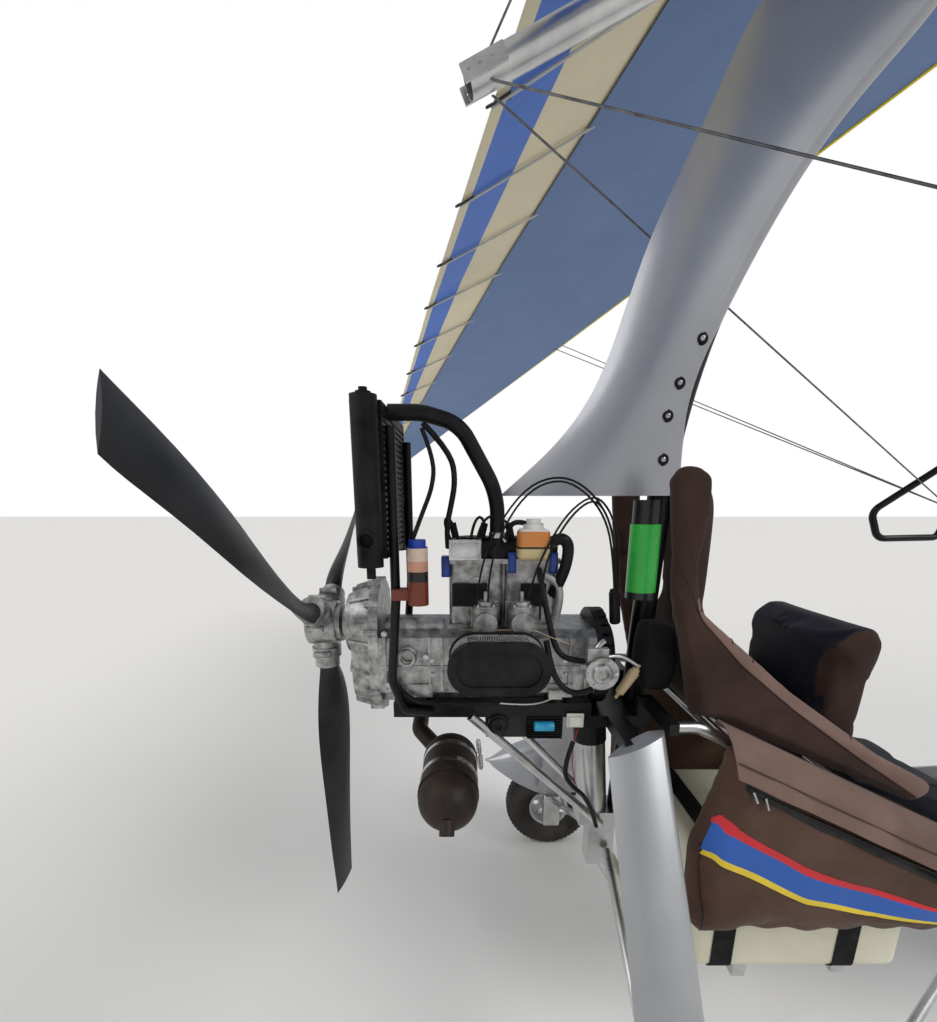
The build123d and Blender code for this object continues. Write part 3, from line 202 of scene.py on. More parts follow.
rubber = finish("tyre_rubber", (0.025, 0.024, 0.023), (0.075, 0.068, 0.060), 0.85, 0.0, 9, 220, 0.0006,
                Specular_IOR_Level=0.15)
dress(rubber, "tyre_left", "tyre_right", "nose_tyre")
rim_metal = finish("rim_metal", (0.42, 0.42, 0.42), (0.66, 0.66, 0.65), 0.38, 0.9, 12, 200, 0.0004)
dress(rim_metal, "rim_left", "rim_right", "nose_rim")

# Fuel tank
# Milky moulded tank, yellowed by fuel, slung under the seats.

tank_shell = finish("tank_shell", (0.66, 0.62, 0.46), (0.80, 0.77, 0.63), 0.42, 0.0, 3, 500, 0.0002,
                    Subsurface_Weight=0.15, Subsurface_Scale=0.02)
dress(tank_shell, "fuel_tank")

# Cockpit and screen
# The instrument panel, the box of the electrics and the mudguard are matt black mouldings, and the
# low windscreen is a bent sheet of clear plastic.

panel_skin = finish("panel_skin", (0.012, 0.012, 0.012), (0.03, 0.03, 0.03), 0.6, 0.0, 10, 600, 0.0003)
dress(panel_skin, "instrument_panel", "electrics_box", "nose_mudguard")
clear_sheet = finish("clear_sheet", (0.80, 0.84, 0.86), (0.88, 0.91, 0.92), 0.06, 0.0, 2, 100, 0.0,
                     Transmission_Weight=0.9, IOR=1.2)
dress(clear_sheet, "windscreen")

# Engine
# Crankcase, gearbox, cylinders and carburettors are cast and left bare, stained by heat. The head,
# radiator and starter are painted black, and the air filter shows its pleats between two black lids.

cast_metal = finish("cast_metal", (0.20, 0.198, 0.195), (0.60, 0.595, 0.585), 0.40, 0.85, 38, 350, 0.0008)
dress(cast_metal, "crankcase", "gearbox", "carburettors", "fuel_pump", "cylinders")
black_casting = finish("black_casting", (0.004, 0.004, 0.005), (0.020, 0.020, 0.021), 0.5, 0.1, 16, 350,
                       0.0008, Specular_IOR_Level=0.2)
dress(black_casting, "starter_housing", "cylinder_head", "air_filter", "radiator")
pleat_cloth = finish("pleat_cloth", (0.16, 0.16, 0.155), (0.40, 0.40, 0.39), 0.8, 0.0, 60, 500, 0.0004)
pleats = frame["nodes"]["air_filter"].data
pleats.materials.append(pleat_cloth)
PLEAT_X = (0.203, 0.271)
for face in pleats.polygons:
    face.material_index = int(PLEAT_X[0] < face.center.x < PLEAT_X[1])
hose_rubber = finish("hose_rubber", (0.005, 0.005, 0.006), (0.016, 0.016, 0.017), 0.42, 0.0, 20, 300,
                     0.0004, Specular_IOR_Level=0.2)
dress(hose_rubber, "coolant_hose")
burnt_steel = finish("burnt_steel", (0.014, 0.009, 0.007), (0.045, 0.029, 0.022), 0.55, 0.5, 14, 400,
                     0.0006)
dress(burnt_steel, "silencer")

# Propeller
# Three dark carbon blades are clamped in a hub of cast metal behind the gearbox.

dark_blade = finish("dark_blade", (0.010, 0.011, 0.013), (0.028, 0.029, 0.032), 0.38, 0.0, 8, 700, 0.0002,
                    Specular_IOR_Level=0.3)
dress(dark_blade, "propeller_blades")
dress(cast_metal, "propeller_hub")

# Wing frame
# The wing's tubes and the block it hangs from are bare alloy, the control bar is sleeved in black,
# and the stays are steel wire.

dress(bare_alloy, "hang_block", "wing_keel", "leading_edges", "control_frame", "kingpost")
dress(black_tube, "base_bar")
wire_steel = finish("wire_steel", (0.10, 0.10, 0.11), (0.24, 0.24, 0.25), 0.4, 0.9, 30, 900, 0.0001)
dress(wire_steel, "wing_stays")

# Sail
# Polyester cloth stretched over battens: one skin above, and a second skin below from the leading
# edge to about three quarters of the chord. Sewn stripes run along the trailing edge, and a narrow
# yellow one along the front of the lower skin.

ROLL = joints["wing_roll"]
NOSE_REACH = 1.584
KEEL_LINE = Vector(ROLL["axis"]).normalized()
WING_UP = Vector((1, 0, 0)).cross(KEEL_LINE)
WING_NOSE = Vector(ROLL["pos_m"]) + KEEL_LINE * NOSE_REACH
SAIL_STATIONS = (  # across, leading edge, trailing edge, rise there, camber, nose radius
    (0.0334, 0.026, 2.540, 0.100, 0.215, 0.040),
    (1.500, 1.070, 2.830, 0.210, 0.150, 0.040),
    (3.000, 2.140, 3.230, 0.180, 0.110, 0.038),
    (4.200, 3.000, 3.520, 0.150, 0.086, 0.035),
    (4.950, 3.535, 3.790, 0.080, 0.050, 0.032),
)
CREST_SHARE = 0.27
DOUBLE_SHARE = 0.78
NOSE_ROUND = 0.75
REAR_FULLNESS = 0.08
SKIN_GAP = 0.009
ACROSS_STEPS = 120
CHORD_STEPS = 60
NOSE_CROWDING = 1.35


def wing(across, aft, up):
    """Point from the wing's nose: across, back along the keel, and up from it."""
    return WING_NOSE + Vector((across, 0, 0)) - KEEL_LINE * aft + WING_UP * up


def sail_values(across):
    """Station values between the rows of the table."""
    rows = SAIL_STATIONS
    for low, high in zip(rows, rows[1:]):
        if across <= high[0] or high is rows[-1]:
            share = (across - low[0]) / (high[0] - low[0])
            return [a + (b - a) * share for a, b in zip(low[1:], high[1:])]


def upper_skin(across, share):
    """Point on the upper skin, its share of the chord counted from the leading edge."""
    lead, trail, rise, camber, nose = sail_values(across)
    if share < CREST_SHARE:
        up = camber * math.sin(share / CREST_SHARE * math.pi / 2) ** NOSE_ROUND
    else:
        back = (share - CREST_SHARE) / (1 - CREST_SHARE)
        up = camber + (rise - camber) * back + REAR_FULLNESS * camber * math.sin(math.pi * back)
    return lead + share * (trail - lead), up


def lower_skin(across, share):
    """Point on the lower skin, which ends under the upper one."""
    lead, trail, rise, camber, nose = sail_values(across)
    chord = trail - lead
    end_aft, end_up = upper_skin(across, DOUBLE_SHARE)
    nose_share = nose / chord
    if share < nose_share:
        up = -nose * math.sin(share / nose_share * math.pi / 2) ** NOSE_ROUND
    else:
        along = (share - nose_share) / (DOUBLE_SHARE - nose_share)
        up = -nose + (end_up - SKIN_GAP + nose) * along
    return lead + share * chord, up


def cloth_grid(name, skin, shares, side, inward):
    """Mesh of one skin from rows of points, with UV across and along the chord."""
    mesh = bpy.data.meshes.new(name)
    first, last = SAIL_STATIONS[0][0], SAIL_STATIONS[-1][0]
    rows = []
    for i in range(ACROSS_STEPS + 1):
        across = first + (last - first) * i / ACROSS_STEPS
        rows.append([wing(side * across, *skin(across, share)) for share in shares])
    count = len(shares)
    points = [p for row in rows for p in row]
    faces = []
    for i in range(ACROSS_STEPS):
        for k in range(count - 1):
            a = i * count + k
            loop = (a, a + 1, a + count + 1, a + count)
            faces.append(loop if inward else loop[::-1])
    mesh.from_pydata(points, [], faces)
    uv = mesh.uv_layers.new(name="cloth")
    for loop in mesh.loops:
        i, k = divmod(loop.vertex_index, count)
        uv.data[loop.index].uv = (i / ACROSS_STEPS, shares[k])
    mesh.shade_smooth()
    return placed(name, mesh)


def fit(piece, material, body="trike"):
    """Gives a piece its material and the body that it rides on."""
    piece.data.materials.append(material)
    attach(piece, body)


def ramp(tree, stops):
    """Hard-edged colour bands from (position, colour) pairs."""
    node = tree.nodes.new("ShaderNodeValToRGB")
    node.color_ramp.interpolation = "CONSTANT"
    while len(node.color_ramp.elements) < len(stops):
        node.color_ramp.elements.new(0.5)
    for element, (position, colour) in zip(node.color_ramp.elements, stops):
        element.position = position
        element.color = (*colour, 1)
    return node


def sail_cloth(name, stops):
    """Sewn sail cloth: coloured bands along the chord, a large patchy tone, and faint creases."""
    material = bpy.data.materials.new(name)
    material.use_nodes = True
    tree = material.node_tree
    shader = tree.nodes["Principled BSDF"]
    shader.inputs["Roughness"].default_value = CLOTH_ROUGH
    shader.inputs["Sheen Weight"].default_value = CLOTH_SHEEN
    place = tree.nodes.new("ShaderNodeTexCoord")
    split = tree.nodes.new("ShaderNodeSeparateXYZ")
    bands = ramp(tree, stops)
    tree.links.new(place.outputs["UV"], split.inputs["Vector"])
    tree.links.new(split.outputs["Y"], bands.inputs["Fac"])
    worn = add_node(tree, "TexNoise", Scale=1.6, Detail=8, Roughness=0.65)
    shade = add_node(tree, "MapRange", From_Min=0.25, From_Max=0.75, To_Min=0.82, To_Max=1.08)
    tinted = tree.nodes.new("ShaderNodeVectorMath")
    tinted.operation = "SCALE"
    tree.links.new(place.outputs["Object"], worn.inputs["Vector"])
    tree.links.new(worn.outputs["Fac"], shade.inputs["Value"])
    tree.links.new(bands.outputs["Color"], tinted.inputs[0])
    tree.links.new(shade.outputs["Result"], tinted.inputs["Scale"])
    tree.links.new(tinted.outputs["Vector"], shader.inputs["Base Color"])
    crease = add_node(tree, "TexNoise", Scale=5, Detail=4, Distortion=0.6)
    bump = add_node(tree, "Bump", Strength=0.5, Distance=0.006)
    tree.links.new(place.outputs["Object"], crease.inputs["Vector"])
    tree.links.new(crease.outputs["Fac"], bump.inputs["Height"])
    tree.links.new(bump.outputs["Normal"], shader.inputs["Normal"])
    return material


CLOTH_ROUGH = 0.62
CLOTH_SHEEN = 0.15
CREAM = (0.74, 0.66, 0.45)
BRIGHT_BLUE = (0.035, 0.16, 0.62)
SLATE_BLUE = (0.085, 0.17, 0.37)
YELLOW = (0.85, 0.72, 0.03)
upper_cloth = sail_cloth("upper_cloth", ((0.0, SLATE_BLUE), (0.16, CREAM), (0.83, CREAM),
                                         (0.905, BRIGHT_BLUE), (0.98, CREAM)))
lower_cloth = sail_cloth("lower_cloth", ((0.0, YELLOW), (0.009, SLATE_BLUE)))
upper_shares = [(i / CHORD_STEPS) ** NOSE_CROWDING for i in range(CHORD_STEPS + 1)]
lower_shares = [DOUBLE_SHARE * share for share in upper_shares]
HALF_AREA = 7.35
SIDES = ((1, "right"), (-1, "left"))
for side, name in SIDES:
    top = cloth_grid(f"upper_sail_{name}", upper_skin, upper_shares, side, side > 0)
    low = cloth_grid(f"lower_sail_{name}", lower_skin, lower_shares, side, side < 0)
    for skin, cloth, area in ((top, upper_cloth, HALF_AREA), (low, lower_cloth, HALF_AREA * DOUBLE_SHARE)):
        fit(skin, cloth, "wing")
    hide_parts(f"sail_{name}")

# Battens and piping
# Alloy battens slide into pockets under the upper skin, each tied by a cord at the trailing edge,
# and a yellow piping is sewn along the leading edge.

BATTENS = 11
FIRST_BATTEN = 0.30
BATTEN_STEP = 0.43
BATTEN_REACH = (0.18, 1.004)
BATTEN_POINTS = 12
BATTEN_DROP = 0.009
BATTEN_R = 0.0045
CORD_LOOP = ((0.012, -0.050, -0.004), (0.012, -0.010, 0.004), (0.004, 0.022, 0.0), (-0.006, 0.020, -0.008),
             (-0.014, -0.008, -0.010), (-0.016, -0.045, -0.008))
CORD_R = 0.0032
PIPING_R = 0.0060
PIPING_DROP = 0.003
PIPING_START = 0.25
PIPING_SHARE = 0.020
PIPING_POINTS = 40
THIN_BEAD = 0.003
SHORT_RUN = 12
batten_cloth = finish("batten_cloth", (0.46, 0.46, 0.44), (0.60, 0.60, 0.58), 0.6, 0.2, 12, 500, 0.0002)
batten_cord = finish("batten_cord", (0.010, 0.010, 0.012), (0.03, 0.03, 0.035), 0.7, 0.0, 40, 900, 0.0003)
piping_cloth = finish("piping_cloth", (0.75, 0.58, 0.02), (0.88, 0.74, 0.05), 0.6, 0.0, 20, 700, 0.0002)


def tube(name, points, radius, material, body="trike"):
    """Round bead or pipe along a row of points."""
    curve = bpy.data.curves.new(name, "CURVE")
    curve.dimensions = "3D"
    curve.bevel_depth = radius
    curve.bevel_resolution = 2 if radius > THIN_BEAD else 1
    curve.use_fill_caps = True
    spline = curve.splines.new("NURBS")
    spline.points.add(len(points) - 1)
    for knot, point in zip(spline.points, points):
        knot.co = (*point, 1)
    spline.order_u = 3
    spline.use_endpoint_u = True
    spline.resolution_u = 4 if len(points) < SHORT_RUN else 2
    drawn = placed(name, curve)
    mesh = bpy.data.meshes.new_from_object(drawn)
    bpy.data.objects.remove(drawn)
    mesh.shade_smooth()
    mesh.materials.clear()
    piece = placed(name, mesh)
    fit(piece, material, body)
    return piece


for side, name in SIDES:
    for number in range(BATTENS):
        across = FIRST_BATTEN + BATTEN_STEP * number
        low, high = BATTEN_REACH
        run = []
        for i in range(BATTEN_POINTS + 1):
            share = low + (high - low) * i / BATTEN_POINTS
            aft, up = upper_skin(across, share)
            run.append(wing(side * across, aft, up - BATTEN_DROP))
        tube(f"batten_{name}_{number}", run, BATTEN_R, batten_cloth, body="wing")
        aft, up = upper_skin(across, 1.0)
        loop = [wing(side * (across + out), aft + back, up + rise) for out, back, rise in CORD_LOOP]
        tube(f"batten_cord_{name}_{number}", loop, CORD_R, batten_cord, body="wing")
    first, last = SAIL_STATIONS[0][0] + PIPING_START, SAIL_STATIONS[-1][0]
    edge = [first + (last - first) * i / PIPING_POINTS for i in range(PIPING_POINTS + 1)]
    seam = [wing(side * across,
                 *lower_skin(across, PIPING_SHARE)) - WING_UP * PIPING_DROP for across in edge]
    tube(f"piping_{name}", seam, PIPING_R, piping_cloth, body="wing")

# Keel pocket
# A red cloth pocket is sewn round the wing's keel between the two halves of the sail.

pocket_cloth = finish("pocket_cloth", (0.42, 0.02, 0.05), (0.60, 0.04, 0.12), 0.7, 0.0, 6, 500, 0.0005)
dress(pocket_cloth, "keel_pocket")

# Seats
# Foam under brown cloth: two side bolsters with a head wing, a back and a base for the passenger,
# and a lower seat for the pilot, each cut in panels; raised welts are sewn on the side bolsters.

WELT_R = 0.0021
seat_cloth = finish("seat_cloth", (0.030, 0.0165, 0.0135), (0.062, 0.036, 0.029), 0.85, 0.0, 5, 700, 0.0007,
                    Sheen_Weight=0.08, Specular_IOR_Level=0.08)
# Lighter copy of the brown seat cloth, a painted highlight: it stands for the same cloth where it faces the
# sky, on the bolsters' upper outer band and on the bag flaps.
sky_lit_cloth = finish("sky_lit_cloth", (0.145, 0.088, 0.070), (0.215, 0.138, 0.112), 0.85, 0.0, 5, 700, 0.0007,
                     Sheen_Weight=0.12, Specular_IOR_Level=0.1)
bag_cloth = finish("bag_cloth", (0.068, 0.036, 0.025), (0.125, 0.072, 0.052), 0.8, 0.0, 4, 800, 0.0006,
                   Sheen_Weight=0.1, Specular_IOR_Level=0.1)
quilt_cloth = finish("quilt_cloth", (0.006, 0.006, 0.011), (0.018, 0.018, 0.028), 0.5, 0.0, 9, 500, 0.0006,
                     Specular_IOR_Level=0.12)
WELD = 0.0002
PRESSURE = 4
BLOWN_STEPS = 20
ROUNDING = 14


def modify(piece, kind, **values):
    """Gives the active piece a modifier with its values, and applies it."""
    added = piece.modifiers.new(kind, kind)
    for name, value in values.items():
        setattr(added, name, value)
    bpy.ops.object.modifier_apply(modifier=added.name)


def soft_copy(node, name, voxel, shrink, cap, shape=None):
    """Cushion grown under air pressure from its CAD solid, each point kept within a cap of its start."""
    body = placed(name, frame["nodes"][node].data.copy())
    body.data.materials.clear()
    weld = bmesh.new()
    weld.from_mesh(body.data)
    bmesh.ops.remove_doubles(weld, verts=weld.verts, dist=WELD)
    weld.normal_update()
    for vert in weld.verts:
        vert.co -= vert.normal * shrink
    weld.to_mesh(body.data)
    weld.free()
    bpy.context.view_layer.objects.active = body
    modify(body, "REMESH", mode="VOXEL", voxel_size=voxel)
    modify(body, "SMOOTH", factor=0.5, iterations=ROUNDING)
    if shape:
        for vert in body.data.vertices:
            vert.co = at(*shape(*(vert.co - at(0, 0, 0))))
    start = [vert.co.copy() for vert in body.data.vertices]
    cloth = body.modifiers.new("cloth", "CLOTH")
    cloth.settings.use_pressure = True
    cloth.settings.uniform_pressure_force = PRESSURE
    cloth.settings.effector_weights.gravity = 0
    for step in range(1, BLOWN_STEPS + 1):
        bpy.context.scene.frame_set(step)
    blown = body.evaluated_get(bpy.context.evaluated_depsgraph_get()).data
    ends = [vert.co.copy() for vert in blown.vertices]
    body.modifiers.remove(cloth)
    for vert, low, high in zip(body.data.vertices, start, ends):
        move = high - low
        vert.co = low + move * min(1, cap / max(move.length, 1e-6))
    bpy.context.scene.frame_set(1)
    modify(body, "SUBSURF", levels=1, render_levels=1)
    for face in body.data.polygons:
        face.use_smooth = True
    return body


def between(points, steps):
    """Points along straight runs, evenly spaced within each run."""
    dense = []
    for low, high in zip(points, points[1:]):
        dense += [low.lerp(high, i / steps) for i in range(steps)]
    return dense + [points[-1]]


def laid_on(surface, points, toward, lift):
    """Points dropped onto a surface along one direction, and lifted a little off it."""
    tree = BVHTree.FromObject(surface, bpy.context.evaluated_depsgraph_get())
    hits = [tree.ray_cast(point - toward * DROP_HEIGHT, toward)[0] for point in points]
    return [hit - toward * lift for hit in hits if hit]


def height_at(line, y):
    """Height of a broken line at a place along it."""
    for (low_y, low_z), (high_y, high_z) in zip(line, line[1:]):
        if y <= high_y:
            break
    return low_z + (high_z - low_z) * (y - low_y) / (high_y - low_y)


def panel_tint(body, material, chosen):
    """Second cloth on the faces that a test picks out."""
    body.data.materials.append(material)
    for face in body.data.polygons:
        if chosen(face):
            face.material_index = 1


SIDE_SEAM = ((0.415, 1.668), (0.428, 1.600), (0.447, 1.512), (0.505, 1.392), (0.600, 1.292), (0.735, 1.184),
             (0.900, 1.068), (1.062, 0.962))
CROSS_SEAMS = ((0.482, 1.600), (0.500, 1.455), (0.518, 1.432), (0.588, 1.350), (0.640, 1.308),
               (0.900, 1.130))
# Lower edge and top height of the band on each bolster that is painted lighter, a painted highlight where
# the rounded bolster faces the sky.
SKY_LIT_PANEL_LOW = ((0.40, 1.62), (0.470, 1.500), *SIDE_SEAM[3:])
SKY_LIT_PANEL_TOP = 1.44
BOLSTER_X = (0.200, 0.236)
FRONT_NORMAL = Vector((0, 0.64, 0.77))
DROP_HEIGHT = 0.8
bolsters = soft_copy("rear_seat_sides", "rear_bolsters", 0.008, 0.003, 0.012)
fit(bolsters, seat_cloth)
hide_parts("rear_seat_sides")
# Painted highlight: the bolsters' upper outer band takes the lighter copy of the brown cloth, for the light
# that falls on it from the sky.
panel_tint(bolsters, sky_lit_cloth,
           lambda face: height_at(SKY_LIT_PANEL_LOW, face.center.y - STATION_ZERO) < face.center.z < SKY_LIT_PANEL_TOP)
for side, hand in SIDES:
    seam = between([at(0, y, z) for y, z in SIDE_SEAM], 6)
    tube(f"side_welt_{hand}", laid_on(bolsters, seam, Vector((-side, 0, 0)), 0), WELT_R, seat_cloth)
    for number, (y, z) in enumerate(CROSS_SEAMS):
        band = between([at(side * x, y, z) for x in BOLSTER_X], 8)
        tube(f"cross_welt_{hand}_{number}", laid_on(bolsters, band, -FRONT_NORMAL, 0), WELT_R * 0.8,
             seat_cloth)

SHOULDERS = (1.30, 1.42)
BACK_HALF = 0.195
HEAD_NARROWING = 0.56
EDGE_RECESS = 0.75
BACK_FRONT = 0.53


def headrest(x, y, z):
    """Narrows the passenger's back to a rounded headrest above the shoulders."""
    low, high = SHOULDERS
    share = min(1, max(0, (z - low) / (high - low)))
    share = share * share * (3 - 2 * share)
    recess = EDGE_RECESS * share * (x / BACK_HALF) ** 2
    return x * (1 - HEAD_NARROWING * share), BACK_FRONT + (y - BACK_FRONT) * (1 - recess), z


CUSHIONS = (  # node, piece, cloth, cap, shape
    ("rear_seat_back", "rear_back_cushion", seat_cloth, 0.014, headrest),
    ("rear_seat_base", "rear_base_cushion", seat_cloth, 0.016, None),
    ("front_seat_back", "front_back_cushion", quilt_cloth, 0.018, None),
    ("front_seat_base", "front_base_cushion", quilt_cloth, 0.018, None),
)
SIDE_PANEL_TOP = 1.355
for node, name, cloth_kind, cap, shape in CUSHIONS:
    cushion = soft_copy(node, name, 0.009, 0.004, cap, shape)
    fit(cushion, cloth_kind)
    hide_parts(node)
    if node == "front_seat_back":
        panel_tint(cushion, seat_cloth,
                   lambda face: abs(face.normal.x) > 0.6 and face.center.z < SIDE_PANEL_TOP)

# Pouch
# A small pouch of black cloth hangs behind the passenger, between the mast and the seat.

POUCH_CENTRE = (0.135, 0.448, 1.285)
POUCH_SIZE = (0.090, 0.062, 0.150)
POUCH_TOP = 1.36
POUCH_DEPTH = 0.20
POUCH_CREASE = 0.0022
POUCH_SAG = 0.10
pouch_cloth = finish("pouch_cloth", (0.004, 0.004, 0.004), (0.014, 0.013, 0.013), 0.8, 0.0, 12, 700, 0.0006,
                     Specular_IOR_Level=0.15)


def block(name, low, high):
    """Cube fitted between two corners, active and with its place in its mesh."""
    bpy.ops.object.select_all(action="DESELECT")
    bpy.ops.mesh.primitive_cube_add(size=1, location=(low + high) / 2)
    piece = bpy.context.object
    piece.name = name
    piece.scale = high - low
    bpy.ops.object.transform_apply(location=True, rotation=False, scale=True)
    return piece


half = Vector(POUCH_SIZE) / 2
pouch = block("seat_pouch", at(*POUCH_CENTRE) - half, at(*POUCH_CENTRE) + half)
bpy.ops.object.mode_set(mode="EDIT")
bpy.ops.mesh.subdivide(number_cuts=3, smoothness=0.35)
bpy.ops.object.mode_set(mode="OBJECT")
modify(pouch, "SUBSURF", levels=2, render_levels=2)
for vert in pouch.data.vertices:
    low = POUCH_TOP - vert.co.z
    crease = math.sin(60 * vert.co.z + 40 * vert.co.y)
    vert.co.x += POUCH_SAG * low * (POUCH_DEPTH - low) + POUCH_CREASE * crease
pouch.data.shade_smooth()
fit(pouch, pouch_cloth)
bpy.ops.object.select_all(action="DESELECT")

# Side bags
# A brown cloth bag hangs on each side of the seat frame, closed by a flap and a long zip, with three
# coloured tapes sewn along it.

RED_EDGE = ((0.494, 0.990), (0.533, 0.986), (0.636, 0.926), (0.733, 0.870), (0.852, 0.823), (0.971, 0.788),
            (1.062, 0.757), (1.310, 0.690))
YELLOW_EDGE = ((0.472, 0.893), (0.521, 0.885), (0.651, 0.823), (0.748, 0.775), (0.890, 0.742),
               (1.072, 0.712), (1.310, 0.665))
FLAP_ROWS = ((0.246, 0.026), (0.264, 0.042), (0.296, 0.040), (0.330, 0.020), (0.354, -0.010),
             (0.372, -0.042))
FLAP_START, FLAP_END = 0.556, 1.280
FLAP_WALL = 0.0022
FLAP_WELTS = (1, 4)
WELT_START, WELT_END = 0.560, 1.276
WELT_LIFT = 0.0032
WELT_POINTS = 40
FLAP_WELT_R = 0.0016
TUBE_RUN = ((0.515, 1.150), (1.230, 0.806))
ZIP_LINE = ((0.575, 1.066), (0.700, 1.003), (0.850, 0.930), (1.000, 0.860), (1.290, 0.722))
TAPES = (("red", 0.80, 1.0, (0.62, 0.02, 0.03)), ("blue", 0.17, 0.80, (0.02, 0.11, 0.45)),
         ("yellow", 0.0, 0.17, (0.80, 0.60, 0.04)))
TAPE_STARTS = (0.462, 0.488)
TAPE_WALL = 0.0016
TAPE_LIFT = 0.0004
BAG_END = 1.300
SIDE_OUT = 0.375
SWELL_FROM = 0.30
SWELL_TOP = 0.95
SWELL_DEPTH = 0.35
SWELL = 0.05
HEM_TOP = 0.70
FOLD = 0.004
ZIP_STARTS = (0.566, 0.572)
ZIP_HALF = 0.012
ZIP_LIFT = 0.001
CHAIN_START, CHAIN_STEP, CHAIN_LINKS = 0.585, 0.009, 78
CHAIN_LIFT, CHAIN_R = 0.003, 0.0035
PULLS = ((0.592, 0.026), (0.618, 0.030))
PULL_SLANT, PULL_LIFT, PULL_R = 0.012, 0.007, 0.003
REAR_EDGE = ((0.532, 1.100), (0.520, 0.990), (0.512, 0.860), (0.540, 0.670))
tape_cloth = {name: finish(f"{name}_tape", [0.85 * c for c in colour], colour, 0.6, 0.0, 14, 900, 0.0004)
              for name, low, high, colour in TAPES}
zip_black = finish("zip_black", (0.008, 0.008, 0.008), (0.025, 0.025, 0.025), 0.45, 0.0, 30, 900, 0.0002,
                   Specular_IOR_Level=0.2)
bright_steel = finish("bright_steel", (0.45, 0.45, 0.45), (0.70, 0.70, 0.70), 0.25, 1.0, 30, 600, 0.0001)


def tube_height(y):
    """Height of the sloping seat tube that the bag hangs from."""
    (back_y, back_z), (front_y, front_z) = TUBE_RUN
    return back_z + (front_z - back_z) * (y - back_y) / (front_y - back_y)


def tape_height(y, share):
    """Height of the coloured tapes at a share of their width, from the yellow edge to the red."""
    low, high = height_at(YELLOW_EDGE, y), height_at(RED_EDGE, y)
    return low + share * (high - low)


def lap(name, rows, side, shape, wall, material, pressed_on=None, lift=0.0):
    """Band of cloth along a bag: a grid bent by a formula, laid on the bag if asked, and thickened."""
    bpy.ops.object.select_all(action="DESELECT")
    bpy.ops.mesh.primitive_grid_add(x_subdivisions=90, y_subdivisions=rows, size=2)
    piece = bpy.context.object
    piece.name = name
    for vert in piece.data.vertices:
        out, y, z = shape(vert.co.x, vert.co.y)
        vert.co = at(side * out, y, z)
    if side < 0:
        bpy.ops.object.mode_set(mode="EDIT")
        bpy.ops.mesh.select_all(action="SELECT")
        bpy.ops.mesh.flip_normals()
        bpy.ops.object.mode_set(mode="OBJECT")
    if pressed_on:
        modify(piece, "SHRINKWRAP", target=pressed_on, wrap_method="NEAREST_SURFACEPOINT",
               wrap_mode="ABOVE_SURFACE", offset=lift)
    modify(piece, "SOLIDIFY", thickness=wall, offset=1)
    bpy.ops.object.shade_smooth_by_angle(angle=math.radians(50))
    fit(piece, material)
    bpy.ops.object.select_all(action="DESELECT")


def strip(starts, low, high):
    """Formula of a slanted band between two lines, for places from -1 to 1 along and up the grid."""
    def shape(along, up):
        share = (up + 1) / 2
        first = starts[0] + (starts[1] - starts[0]) * share
        y = first + (BAG_END - first) * (along + 1) / 2
        return SIDE_OUT, y, low(y) + (high(y) - low(y)) * share
    return shape


def flap(along, up):
    """Formula of the rippled flap that hangs over the seat tube."""
    y = FLAP_START + (FLAP_END - FLAP_START) * (along + 1) / 2
    out, rise = FLAP_ROWS[round((up + 1) / 2 * (len(FLAP_ROWS) - 1))]
    ripple = 0.0018 * math.sin(31 * y) + 0.0012 * math.sin(57 * y + 2 * up)
    return out + ripple, y, tube_height(y) + rise


for side, hand in SIDES:
    bag = soft_copy(f"pannier_{hand}", f"side_bag_{hand}", 0.010, 0.006, 0.020)
    for vert in bag.data.vertices:
        spot = vert.co - at(0, 0, 0)
        if side * spot.x > SWELL_FROM:
            fold = math.sin(26 * spot.y + 9 * spot.z) * 0.5 + math.sin(41 * spot.z - 17 * spot.y) * 0.5
            low = max(0, SWELL_TOP - spot.z)
            vert.co.x += side * (FOLD * fold + SWELL * low * (SWELL_DEPTH - low))
            if spot.z < HEM_TOP:
                vert.co.z += FOLD * math.sin(70 * spot.y)
    fit(bag, bag_cloth)
    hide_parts(f"pannier_{hand}")
    for name, low, high, colour in TAPES:
        band = strip(TAPE_STARTS, lambda y, share=low: tape_height(y, share),
                     lambda y, share=high: tape_height(y, share))
        lap(f"{name}_tape_{hand}", 6, side, band, TAPE_WALL, tape_cloth[name], bag, TAPE_LIFT)
    # The flap takes the lighter brown, a painted highlight on its upward face and not a cloth of another
    # colour.
    lap(f"bag_flap_{hand}", len(FLAP_ROWS) - 1, side, flap, FLAP_WALL, sky_lit_cloth)
    for number, row in enumerate(FLAP_WELTS):
        out, rise = FLAP_ROWS[row]
        places = [WELT_START + (WELT_END - WELT_START) * i / WELT_POINTS for i in range(WELT_POINTS + 1)]
        line = [at(side * (out + WELT_LIFT), y, tube_height(y) + rise) for y in places]
        tube(f"flap_welt_{hand}_{number}", line, FLAP_WELT_R, bag_cloth)
    band = strip(ZIP_STARTS, lambda y: height_at(ZIP_LINE, y) - ZIP_HALF,
                 lambda y: height_at(ZIP_LINE, y) + ZIP_HALF)
    lap(f"zip_tape_{hand}", 6, side, band, TAPE_WALL, zip_black, bag, ZIP_LIFT)
    toward = Vector((-side, 0, 0))
    places = [CHAIN_START + CHAIN_STEP * i for i in range(CHAIN_LINKS)]
    chain = laid_on(bag, [at(0, y, height_at(ZIP_LINE, y)) for y in places], toward, CHAIN_LIFT)
    tube(f"zip_chain_{hand}", chain, CHAIN_R, zip_black)
    for number, (y, drop) in enumerate(PULLS):
        height = height_at(ZIP_LINE, y)
        pull = laid_on(bag, [at(0, y, height), at(0, y + PULL_SLANT, height - drop)], toward, PULL_LIFT)
        tube(f"zip_pull_{hand}_{number}", pull, PULL_R, bright_steel)
    edge = laid_on(bag, between([at(0, y, z) for y, z in REAR_EDGE], 8), toward, 0.001)
    tube(f"bag_welt_{hand}", edge, WELT_R, seat_cloth)

# Tank straps
# Two black webbing straps hold the milky tank up under the seats.

